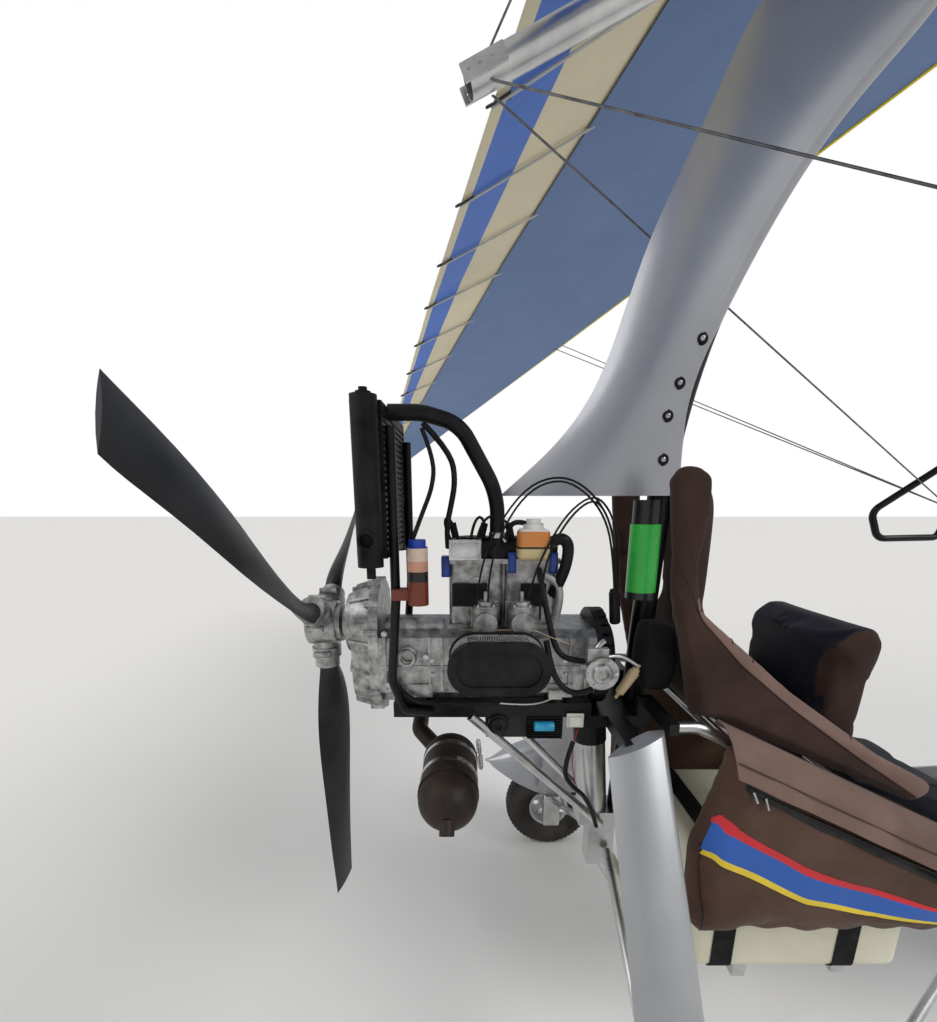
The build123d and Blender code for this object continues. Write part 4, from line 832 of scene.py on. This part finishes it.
strap_web = finish("strap_web", (0.010, 0.010, 0.010), (0.028, 0.028, 0.028), 0.8, 0.0, 25, 900, 0.0006,
                   Specular_IOR_Level=0.1)
tank_low, tank_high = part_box("fuel_tank")
STRAP_WIDTH = 0.055
STRAP_PLACES = (0.66, 0.98)
STRAP_SLACK = 0.003
STRAP_WALL = 0.0025
STRAP_TURN = 0.03


def pick(piece, test):
    """Selects the faces that a test picks out, and leaves the piece in edit mode."""
    bpy.ops.object.mode_set(mode="EDIT")
    bpy.ops.mesh.select_mode(type="FACE")
    bpy.ops.mesh.select_all(action="DESELECT")
    bpy.ops.object.mode_set(mode="OBJECT")
    for face in piece.data.polygons:
        face.select = test(face)
    bpy.ops.object.mode_set(mode="EDIT")


for number, y in enumerate(STRAP_PLACES):
    low, high = Vector(tank_low), Vector(tank_high)
    low.y, high.y = (at(0, y + share * STRAP_WIDTH, 0).y for share in (-0.5, 0.5))
    slack = Vector((STRAP_SLACK, 0, STRAP_SLACK))
    strap = block(f"tank_strap_{number}", low - slack, high + slack)
    pick(strap, lambda face: abs(face.normal.y) > 0.9)
    bpy.ops.mesh.delete(type="ONLY_FACE")
    bpy.ops.object.mode_set(mode="OBJECT")
    modify(strap, "BEVEL", width=STRAP_TURN, segments=5, limit_method="ANGLE")
    modify(strap, "SOLIDIFY", thickness=STRAP_WALL, offset=-1)
    fit(strap, strap_web)
    bpy.ops.object.select_all(action="DESELECT")

# Engine fittings
# Cables, hoses and small boxes hung on the engine: throttle cables gathered in a splitter, fuel
# hoses to the round pump, a voltage regulator with its cooling fins, and screws.

cable_black = finish("cable_black", (0.004, 0.004, 0.004), (0.012, 0.012, 0.013), 0.35, 0.0, 40, 900,
                     0.0001, Specular_IOR_Level=0.2)
blue_plastic = finish("blue_plastic", (0.010, 0.045, 0.30), (0.02, 0.08, 0.45), 0.3, 0.0, 30, 500, 0.0001)
sky_plastic = finish("sky_plastic", (0.02, 0.30, 0.55), (0.04, 0.42, 0.70), 0.35, 0.0, 30, 500, 0.0001)
tan_plastic = finish("tan_plastic", (0.33, 0.24, 0.13), (0.48, 0.37, 0.22), 0.4, 0.0, 20, 500, 0.0002)
white_plastic = finish("white_plastic", (0.62, 0.60, 0.54), (0.78, 0.76, 0.70), 0.45, 0.0, 20, 500, 0.0002)
pale_pipe = finish("pale_pipe", (0.40, 0.40, 0.38), (0.56, 0.56, 0.54), 0.4, 0.4, 20, 500, 0.0003)
safety_wire = finish("safety_wire", (0.35, 0.26, 0.17), (0.50, 0.40, 0.28), 0.4, 0.6, 60, 900, 0.0001)
red_wire = finish("red_wire", (0.35, 0.01, 0.01), (0.50, 0.02, 0.02), 0.4, 0.0, 60, 900, 0.0001)

LINES = (  # name, radius, material, route
    ("throttle_cable_0", 0.0026, cable_black,
     ((0.148, 0.018, 1.409), (0.148, 0.026, 1.491), (0.140, 0.060, 1.581), (0.130, 0.127, 1.674),
      (0.120, 0.200, 1.701), (0.110, 0.265, 1.680), (0.090, 0.326, 1.618), (0.075, 0.358, 1.530),
      (0.070, 0.369, 1.425))),
    ("throttle_cable_1", 0.0026, cable_black,
     ((0.165, 0.045, 1.386), (0.160, 0.042, 1.469), (0.150, 0.074, 1.581), (0.140, 0.131, 1.665),
      (0.130, 0.199, 1.693), (0.120, 0.259, 1.671), (0.100, 0.317, 1.613), (0.085, 0.347, 1.530),
      (0.078, 0.360, 1.425))),
    ("throttle_cable_2", 0.0026, cable_black,
     ((0.148, 0.133, 1.385), (0.148, 0.145, 1.462), (0.140, 0.178, 1.541), (0.130, 0.225, 1.619),
      (0.120, 0.281, 1.659), (0.100, 0.322, 1.635), (0.080, 0.355, 1.577), (0.070, 0.367, 1.505),
      (0.066, 0.373, 1.425))),
    ("throttle_cable_3", 0.0026, cable_black,
     ((0.165, 0.165, 1.377), (0.160, 0.166, 1.458), (0.150, 0.185, 1.536), (0.140, 0.229, 1.611),
      (0.130, 0.277, 1.649), (0.110, 0.311, 1.630), (0.090, 0.340, 1.578), (0.080, 0.356, 1.506),
      (0.072, 0.365, 1.425))),
    ("head_elbow", 0.014, hose_rubber,
     ((0.100, 0.190, 1.545), (0.100, 0.213, 1.562), (0.100, 0.237, 1.549), (0.100, 0.236, 1.508),
      (0.100, 0.223, 1.462), (0.080, 0.208, 1.420))),
    ("head_pipe", 0.010, pale_pipe,
     ((0.090, 0.180, 1.470), (0.095, 0.213, 1.462), (0.095, 0.226, 1.412), (0.080, 0.214, 1.350))),
    ("fuel_hose_upper", 0.0075, hose_rubber,
     ((0.100, 0.168, 1.488), (0.140, 0.176, 1.431), (0.158, 0.188, 1.368), (0.170, 0.204, 1.306),
      (0.180, 0.232, 1.284), (0.190, 0.270, 1.284))),
    ("fuel_hose_lower", 0.0075, hose_rubber,
     ((0.178, 0.180, 1.330), (0.182, 0.192, 1.262), (0.190, 0.222, 1.214), (0.195, 0.262, 1.204),
      (0.200, 0.289, 1.220))),
    ("rail_hose", 0.0060, hose_rubber,
     ((0.130, -0.182, 1.210), (0.138, -0.146, 1.163), (0.136, -0.078, 1.157), (0.132, 0.004, 1.156),
      (0.122, 0.060, 1.152))),
    ("vent_hose", 0.0050, hose_rubber,
     ((0.150, -0.100, 1.795), (0.165, -0.073, 1.730), (0.170, -0.078, 1.673), (0.175, -0.100, 1.620),
      (0.175, -0.124, 1.560))),
    ("bleed_hose", 0.0065, hose_rubber,
     ((0.120, -0.100, 1.810), (0.130, -0.040, 1.750), (0.120, -0.029, 1.690), (0.110, -0.041, 1.630),
      (0.100, -0.052, 1.584), (0.070, -0.050, 1.535))),
    ("oil_breather", 0.0060, hose_rubber,
     ((0.103, 0.150, 1.588), (0.098, 0.120, 1.600), (0.085, 0.095, 1.588), (0.070, 0.092, 1.555))),
    ("plug_lead_0", 0.0035, cable_black,
     ((0.034, -0.040, 1.590), (0.060, -0.050, 1.612), (0.085, -0.060, 1.590), (0.088, -0.040, 1.552))),
    ("plug_lead_1", 0.0035, cable_black,
     ((0.034, 0.040, 1.590), (0.060, 0.030, 1.615), (0.084, 0.010, 1.590), (0.086, 0.005, 1.552))),
    ("plug_lead_2", 0.0035, cable_black,
     ((0.034, 0.098, 1.590), (0.055, 0.070, 1.615), (0.080, 0.030, 1.600), (0.084, 0.020, 1.552))),
    ("carb_wire", 0.0014, safety_wire,
     ((0.176, -0.022, 1.356), (0.180, 0.061, 1.355), (0.180, 0.153, 1.358), (0.172, 0.190, 1.336),
      (0.162, 0.248, 1.314))),
    ("pump_pipe", 0.0050, bright_steel,
     ((0.205, 0.318, 1.300), (0.195, 0.345, 1.300), (0.192, 0.372, 1.288), (0.190, 0.392, 1.274))),
    ("pump_top_pipe", 0.0070, bright_steel,
     ((0.200, 0.285, 1.300), (0.200, 0.292, 1.326), (0.195, 0.310, 1.334))),
    ("strut_hose", 0.0060, hose_rubber,
     ((0.150, 0.262, 1.060), (0.162, 0.235, 0.990), (0.150, 0.262, 0.935), (0.120, 0.318, 0.880),
      (0.100, 0.350, 0.780))),
    ("red_wire", 0.0013, red_wire,
     ((0.115, 0.262, 1.120), (0.128, 0.285, 1.105), (0.125, 0.268, 1.050), (0.110, 0.270, 0.960),
      (0.085, 0.300, 0.870))),
    ("white_wire", 0.0018, white_plastic,
     ((0.125, 0.222, 1.172), (0.135, 0.185, 1.156), (0.135, 0.130, 1.152), (0.120, 0.080, 1.150))),
)
for name, radius, material, route in LINES:
    tube(name, [at(*point) for point in route], radius, material)


def soften(piece, width, segments=3):
    """Rounds the sharp edges and smooths what is between them."""
    modify(piece, "BEVEL", width=width, segments=segments, limit_method="ANGLE")
    bpy.ops.object.shade_smooth_by_angle(angle=math.radians(40))
    bpy.ops.object.select_all(action="DESELECT")


def housing(name, low, high, edge, material, lid=0.0):
    """Small box with rounded edges and, on its outer side, a raised or sunk lid."""
    low, high = at(*low), at(*high)
    piece = block(name, low, high)
    if lid:
        pick(piece, lambda face: face.normal.x > 0.9)
        bpy.ops.mesh.inset(thickness=LID_MARGIN * min(high.y - low.y, high.z - low.z))
        bpy.ops.mesh.extrude_region_move(TRANSFORM_OT_translate={"value": (lid, 0, 0)})
        bpy.ops.object.mode_set(mode="OBJECT")
    soften(piece, edge)
    fit(piece, material)
    return piece


def turned(name, base, top, profile, material, sides=32):
    """Turned piece between two points: a cylinder stepped by extruding and scaling its top face."""
    run = top - base
    turn = run.to_track_quat("Z", "Y").to_matrix().to_4x4()
    bpy.ops.object.select_all(action="DESELECT")
    (first, radius), *steps = profile
    bpy.ops.mesh.primitive_circle_add(vertices=sides, radius=radius, fill_type="NGON",
                                      location=(0, 0, first * run.length))
    piece = bpy.context.object
    piece.name = name
    bpy.ops.object.transform_apply(location=True, rotation=False, scale=False)
    bpy.ops.object.mode_set(mode="EDIT")
    bpy.ops.mesh.select_mode(type="FACE")
    bpy.ops.mesh.select_all(action="SELECT")
    last = first
    for share, wide in steps:
        rise = (share - last) * run.length
        bpy.ops.mesh.extrude_region_move(TRANSFORM_OT_translate={"value": (0, 0, rise)})
        bpy.ops.transform.resize(value=(wide / radius, wide / radius, 1))
        last, radius = share, wide
    bpy.ops.mesh.select_all(action="SELECT")
    bpy.ops.mesh.normals_make_consistent(inside=False)
    bpy.ops.object.mode_set(mode="OBJECT")
    piece.data.transform(Matrix.Translation(base) @ turn)
    bpy.ops.object.shade_smooth_by_angle(angle=math.radians(35))
    bpy.ops.object.select_all(action="DESELECT")
    fit(piece, material)
    return piece


def repeat(piece, places):
    """Puts a piece at each place, every copy with its own mesh, and joins the copies into it."""
    pattern = piece.data.copy()
    piece.data.transform(places[0])
    for place in places[1:]:
        copy = placed(piece.name, pattern.copy())
        copy.data.transform(place)
        copy.select_set(True)
    piece.select_set(True)
    bpy.context.view_layer.objects.active = piece
    bpy.ops.object.join()
    bpy.ops.object.select_all(action="DESELECT")
    bpy.data.meshes.remove(pattern)


def bolt_heads(name, spots, direction, radius, height, material, sides=6):
    """Row of bolt heads, each with a washer under it and a socket in its top."""
    profile = [(share, radius * wide) for share, wide in BOLT_PROFILE]
    head = turned(name, Vector((0, 0, 0)), direction * height, profile, material, sides)
    repeat(head, [Matrix.Translation(spot) for spot in spots])


LID_MARGIN = 0.14
BOLT_PROFILE = ((-0.3, 1.25), (0.12, 1.25), (0.13, 1.0), (0.92, 1.0), (1.0, 0.88), (1.0, 0.5), (0.6, 0.45))
OUT = Vector((1, 0, 0))
UP = Vector((0, 0, 1))
TURNINGS = (  # name, base, top, (share of the height, radius) steps, material, slot
    ("cable_splitter", (0.071, 0.361, 1.434), (0.071, 0.369, 1.345),
     ((0, 0.006), (0.02, 0.011), (0.10, 0.012), (0.11, 0.0135), (0.95, 0.0135), (1.0, 0.010)),
     cable_black, "rubber_black"),
    ("fuel_filter", (0.190, 0.397, 1.276), (0.190, 0.346, 1.194),
     ((0, 0.004), (0.10, 0.004), (0.12, 0.009), (0.20, 0.010), (0.22, 0.013), (0.84, 0.011),
      (0.87, 0.005), (1.0, 0.004)), tan_plastic, "clear_plastic"),
    ("hose_clamp_head", (0.050, 0.070, 1.556), (0.050, 0.070, 1.570),
     ((0, 0.0195), (0.1, 0.0205), (0.9, 0.0205), (1.0, 0.0195)), bright_steel, "steel"),
    ("blue_capacitor", (0.128, 0.166, 1.091), (0.128, 0.216, 1.091),
     ((0, 0.010), (0.04, 0.0125), (0.16, 0.0125), (0.19, 0.0115), (0.22, 0.0125), (0.95, 0.0125),
      (1.0, 0.011)), sky_plastic, "rubber_black"),
    ("gear_cap", (0.100, -0.150, 1.274), (0.142, -0.150, 1.274),
     ((0, 0.024), (0.80, 0.024), (0.92, 0.021), (1.0, 0.021), (1.0, 0.015), (0.6, 0.014)),
     cast_metal, "engine_alloy"),
    ("voltage_coil", (0.108, 0.076, 1.092), (0.136, 0.076, 1.092),
     ((0, 0.026), (0.55, 0.026), (0.62, 0.022), (0.85, 0.021), (1.0, 0.015), (1.0, 0.008), (0.8, 0.007)),
     black_casting, "engine_black"),
)
for name, base, top, profile, material, kind in TURNINGS:
    turned(name, at(*base), at(*top), profile, material)
BOXES = (  # name, low corner, high corner, edge, lid, material, slot
    ("ignition_box", (0.093, -0.046, 1.508), (0.108, 0.030, 1.556), 0.003, 0.001, bright_steel,
     "engine_alloy"),
    ("cylinder_plate_0", (0.083, -0.040, 1.392), (0.0875, 0.046, 1.449), 0.002, -0.001, black_casting,
     "engine_black"),
    ("cylinder_plate_1", (0.083, 0.128, 1.392), (0.0875, 0.190, 1.449), 0.002, -0.001, black_casting,
     "engine_black"),
    ("blue_cap_0", (0.048, -0.066, 1.464), (0.084, -0.046, 1.514), 0.006, 0.003, blue_plastic,
     "rubber_black"),
    ("blue_cap_1", (0.048, 0.096, 1.474), (0.084, 0.116, 1.524), 0.006, 0.003, blue_plastic,
     "rubber_black"),
    ("blue_cap_2", (0.050, 0.196, 1.474), (0.086, 0.216, 1.524), 0.006, 0.003, blue_plastic,
     "rubber_black"),
    ("wire_connector", (0.120, 0.200, 1.166), (0.134, 0.232, 1.188), 0.002, 0.002, white_plastic,
     "rubber_black"),
    ("relay_bracket", (0.120, 0.248, 1.086), (0.126, 0.292, 1.124), 0.004, 0.010, white_plastic,
     "rubber_black"),
)
for name, low, high, edge, lid, material, kind in BOXES:
    housing(name, low, high, edge, material, lid)
FINS = 9
FIN_STEP = 0.0068
fin = housing("regulator_fins", (0.098, 0.150, 1.108), (0.122, 0.240, 1.111), 0.0008, black_casting)
bpy.context.view_layer.objects.active = fin
modify(fin, "ARRAY", count=FINS, use_relative_offset=False, use_constant_offset=True,
       constant_offset_displace=(0, 0, -FIN_STEP))
PUMP = at(0.222, 0.303, 1.264)
PUMP_SCREW_CIRCLE = 0.032
ring = [i * math.pi / 3 for i in range(6)]
bolt_heads("pump_screws", [PUMP + PUMP_SCREW_CIRCLE * Vector((0, math.cos(a), math.sin(a))) for a in ring],
           OUT, 0.0036, 0.0035, bright_steel, sides=12)
turned("pump_cover", PUMP - 0.001 * OUT, PUMP + 0.006 * OUT,
       ((0, 0.024), (0.6, 0.023), (1.0, 0.020), (1.0, 0.013), (0.5, 0.012)), cast_metal,
       sides=48)
HEAD_TOP = 1.548
HEAD_ROWS = (-0.036, 0.024, 0.087, 0.150, 0.205)
bolt_heads("head_screws", [at(side * 0.060, y, HEAD_TOP) for side in (-1, 1) for y in HEAD_ROWS], UP,
           0.0062, 0.008, bright_steel)
CASE_ROWS = (-0.19, -0.09, 0.02, 0.13, 0.24)
CASE_LINES = (1.225, 1.262)
spots = laid_on(frame["nodes"]["crankcase"], [at(0, y, z) for y in CASE_ROWS for z in CASE_LINES], -OUT, 0)
bolt_heads("case_screws", spots, OUT, 0.0055, 0.006, bright_steel)
bolt_heads("gear_screws", [at(0.125, -0.104, 1.274), at(0.120, -0.205, 1.330), at(0.120, -0.200, 1.200)],
           OUT, 0.0065, 0.006, bright_steel)
CARB_PLACES = (0.040, 0.124)
CARB_CORNERS = ((0.018, 0.018), (-0.018, 0.018), (0.018, -0.018), (-0.018, -0.018))
bolt_heads("carb_screws", [at(0.148 + dx, y + dy, 1.408) for y in CARB_PLACES for dx, dy in CARB_CORNERS],
           UP, 0.0030, 0.004, bright_steel, sides=12)

# Silencer fittings
# Steel straps clamp the can, and two springs hook its joints together.

CAN_AXIS = (-0.045, 1.008)
CAN_RADIUS = 0.066
CAN_STRAPS = (0.165, 0.245)
STRAP_WIDE = 0.016
STRAP_PROFILE = ((0, CAN_RADIUS - 0.001), (0, CAN_RADIUS + 0.0018), (1, CAN_RADIUS + 0.0018),
                 (1, CAN_RADIUS - 0.001))
for number, x in enumerate(CAN_STRAPS):
    turned(f"can_strap_{number}", at(x, *CAN_AXIS), at(x + STRAP_WIDE, *CAN_AXIS), STRAP_PROFILE,
           bright_steel, sides=64)
SPRINGS = (((0.150, 0.024, 1.062), (0.205, 0.026, 1.060)), ((0.150, 0.030, 1.020), (0.205, 0.030, 1.020)))
COILS = 11
COIL_STEPS = 12
COIL_RADIUS = 0.0050
HOOK = 0.010
SPRING_WIRE = 0.0011
for number, ends in enumerate(SPRINGS):
    low, high = (at(*end) for end in ends)
    coil = []
    for i in range(COILS * COIL_STEPS + 1):
        turn = 2 * math.pi * i / COIL_STEPS
        coil.append(low.lerp(high, i / (COILS * COIL_STEPS))
                    + COIL_RADIUS * Vector((0, math.cos(turn), math.sin(turn))))
    tube(f"can_spring_{number}", [low - HOOK * OUT, *coil, high + HOOK * OUT], SPRING_WIRE, bright_steel)

# Bottles
# The moulded bottles are filled, strapped or labelled in bands, and their lids are another colour.

def banded(name, stops, rough):
    """Plastic whose colour changes with height: each stop is a height above ground and a colour."""
    material = finish(name, (0.8, 0.8, 0.8), (1.0, 1.0, 1.0), rough, 0.0, 20, 400, 0.0001)
    tree = material.node_tree
    place = tree.nodes.new("ShaderNodeTexCoord")
    split = tree.nodes.new("ShaderNodeSeparateXYZ")
    low, high = stops[0][0], stops[-1][0] + 0.05
    share = add_node(tree, "MapRange", From_Min=low, From_Max=high)
    bands = ramp(tree, [((height - low) / (high - low), colour) for height, colour in stops])
    mixed = tree.nodes.new("ShaderNodeVectorMath")
    mixed.operation = "MULTIPLY"
    shader = tree.nodes["Principled BSDF"]
    tone = shader.inputs["Base Color"].links[0].from_socket
    tree.links.new(place.outputs["Object"], split.inputs["Vector"])
    tree.links.new(split.outputs["Z"], share.inputs["Value"])
    tree.links.new(share.outputs["Result"], bands.inputs["Fac"])
    tree.links.new(bands.outputs["Color"], mixed.inputs[0])
    tree.links.new(tone, mixed.inputs[1])
    tree.links.new(mixed.outputs["Vector"], shader.inputs["Base Color"])
    return material


BLACK = (0.01, 0.01, 0.01)
BOTTLES = (  # node, material, bands
    ("overflow_bottle", "overflow_bands",
     ((1.41, (0.20, 0.035, 0.012)), (1.470, BLACK), (1.492, (0.72, 0.36, 0.24)),
      (1.515, (0.80, 0.62, 0.50)), (1.543, (0.01, 0.05, 0.42)))),
    ("oil_tank", "oil_bands",
     ((1.50, (0.62, 0.50, 0.26)), (1.536, (0.03, 0.02, 0.01)), (1.541, (0.70, 0.26, 0.06)),
      (1.576, (0.85, 0.85, 0.82)))),
    ("spray_bottle", "spray_bands", ((1.40, BLACK), (1.425, (0.04, 0.50, 0.07)), (1.590, BLACK))),
)
for node, name, stops in BOTTLES:
    dress(banded(name, stops, 0.3), node)

# Fairing bolts
# Four screws in black rubber cups hold each side of the mast cover along its front edge.

COVER_BOLTS = ((0.463, 1.740), (0.464, 1.837), (0.485, 1.908), (0.528, 2.001))
for side, hand in SIDES:
    out = Vector((side, 0, 0))
    spots = laid_on(frame["nodes"]["mast_fairing"], [at(0, y, z) for y, z in COVER_BOLTS], -out, 0)
    bolt_heads(f"cover_cups_{hand}", spots, out, 0.0115, 0.0035, cable_black, sides=24)
    bolt_heads(f"cover_bolts_{hand}", [spot + out * 0.002 for spot in spots], out, 0.0050, 0.005,
               bright_steel, sides=12)

# Tyre tread
# Four rows of low slanted blocks, two on each side of the middle, are moulded with the tyre.

BLOCK_SHARE = 0.30
BLOCK_SIZE = (0.013, 0.006)
BLOCK_ROWS = (-0.52, -0.17, 0.17, 0.52)
BLOCK_SLANT = 14
BLOCK_SINK = 0.0022
TREADS = (  # tyre, body, wheel centre, blocks in a row
    ("tyre_right", "wheel_right", (0.875, 0.388, 0.202), 56),
    ("tyre_left", "wheel_left", (-0.875, 0.388, 0.202), 56),
    ("nose_tyre", "nose_wheel", (0.0, 2.150, 0.180), 50),
)
for tyre, body, centre, count in TREADS:
    middle = at(*centre)
    low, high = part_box(tyre)
    half = (high[0] - low[0]) / 2
    tree = BVHTree.FromObject(frame["nodes"][tyre], bpy.context.evaluated_depsgraph_get())
    corner = Vector((BLOCK_SHARE * half, *BLOCK_SIZE)) / 2
    tread = block(f"{tyre}_tread", -corner, corner)
    soften(tread, 0.0012, 1)
    places = []
    for row, across in enumerate(BLOCK_ROWS):
        hit = tree.ray_cast(middle + Vector((across * half, 0, 0.5)), -UP)[0]
        reach = hit.z - middle.z - BLOCK_SINK
        tilt = Matrix.Rotation(math.radians(math.copysign(BLOCK_SLANT, across)), 4, "Z")
        for i in range(count):
            turn = Matrix.Rotation(2 * math.pi * (i + 0.5 * (row % 2)) / count, 4, "X")
            places.append(Matrix.Translation(middle) @ turn @ Matrix.Translation((across * half, 0,
                                                                                  reach)) @ tilt)
    repeat(tread, places)
    fit(tread, rubber, body)

# Instruments
# Round dials with black bezels stand out of the panel, over a row of small switches.

PANEL_FACE = 1.812
DIALS = ((-0.170, 0.895, 0.040), (-0.070, 0.900, 0.045), (0.040, 0.900, 0.045), (0.145, 0.893, 0.040),
         (-0.120, 0.815, 0.028), (0.0, 0.812, 0.028), (0.110, 0.815, 0.028))
dial_glass = finish("dial_glass", (0.010, 0.010, 0.012), (0.025, 0.025, 0.028), 0.08, 0.0, 30, 500, 0.0)
DIAL_PARTS = (  # piece, start and end behind the panel's face, profile in radii, material, sides
    ("bezel", -0.001, 0.010, ((0, 1.0), (0.7, 1.0), (1.0, 0.94), (1.0, 0.84), (0.6, 0.82)), black_casting,
     48),
    ("face", 0.003, 0.006, ((0, 0.80), (0.6, 0.80), (1.0, 0.74)), dial_glass, 48),
    ("hub", 0.005, 0.008, ((0, 0.10), (0.7, 0.10), (1.0, 0.07)), white_plastic, 16),
)
SWITCHES = 6
SWITCH_FIRST, SWITCH_STEP = -0.25, 0.100
for number, (x, z, radius) in enumerate(DIALS):
    for part, start, end, profile, material, sides in DIAL_PARTS:
        turned(f"dial_{part}_{number}", at(x, PANEL_FACE - start, z), at(x, PANEL_FACE - end, z),
               [(share, radius * wide) for share, wide in profile], material, sides)
for number in range(SWITCHES):
    x = SWITCH_FIRST + SWITCH_STEP * number
    turned(f"panel_switch_{number}", at(x, PANEL_FACE + 0.001, 0.780), at(x, PANEL_FACE - 0.020, 0.783),
           ((0, 0.008), (0.25, 0.008), (0.27, 0.003), (0.9, 0.004), (1.0, 0.003)), bright_steel,
           16)
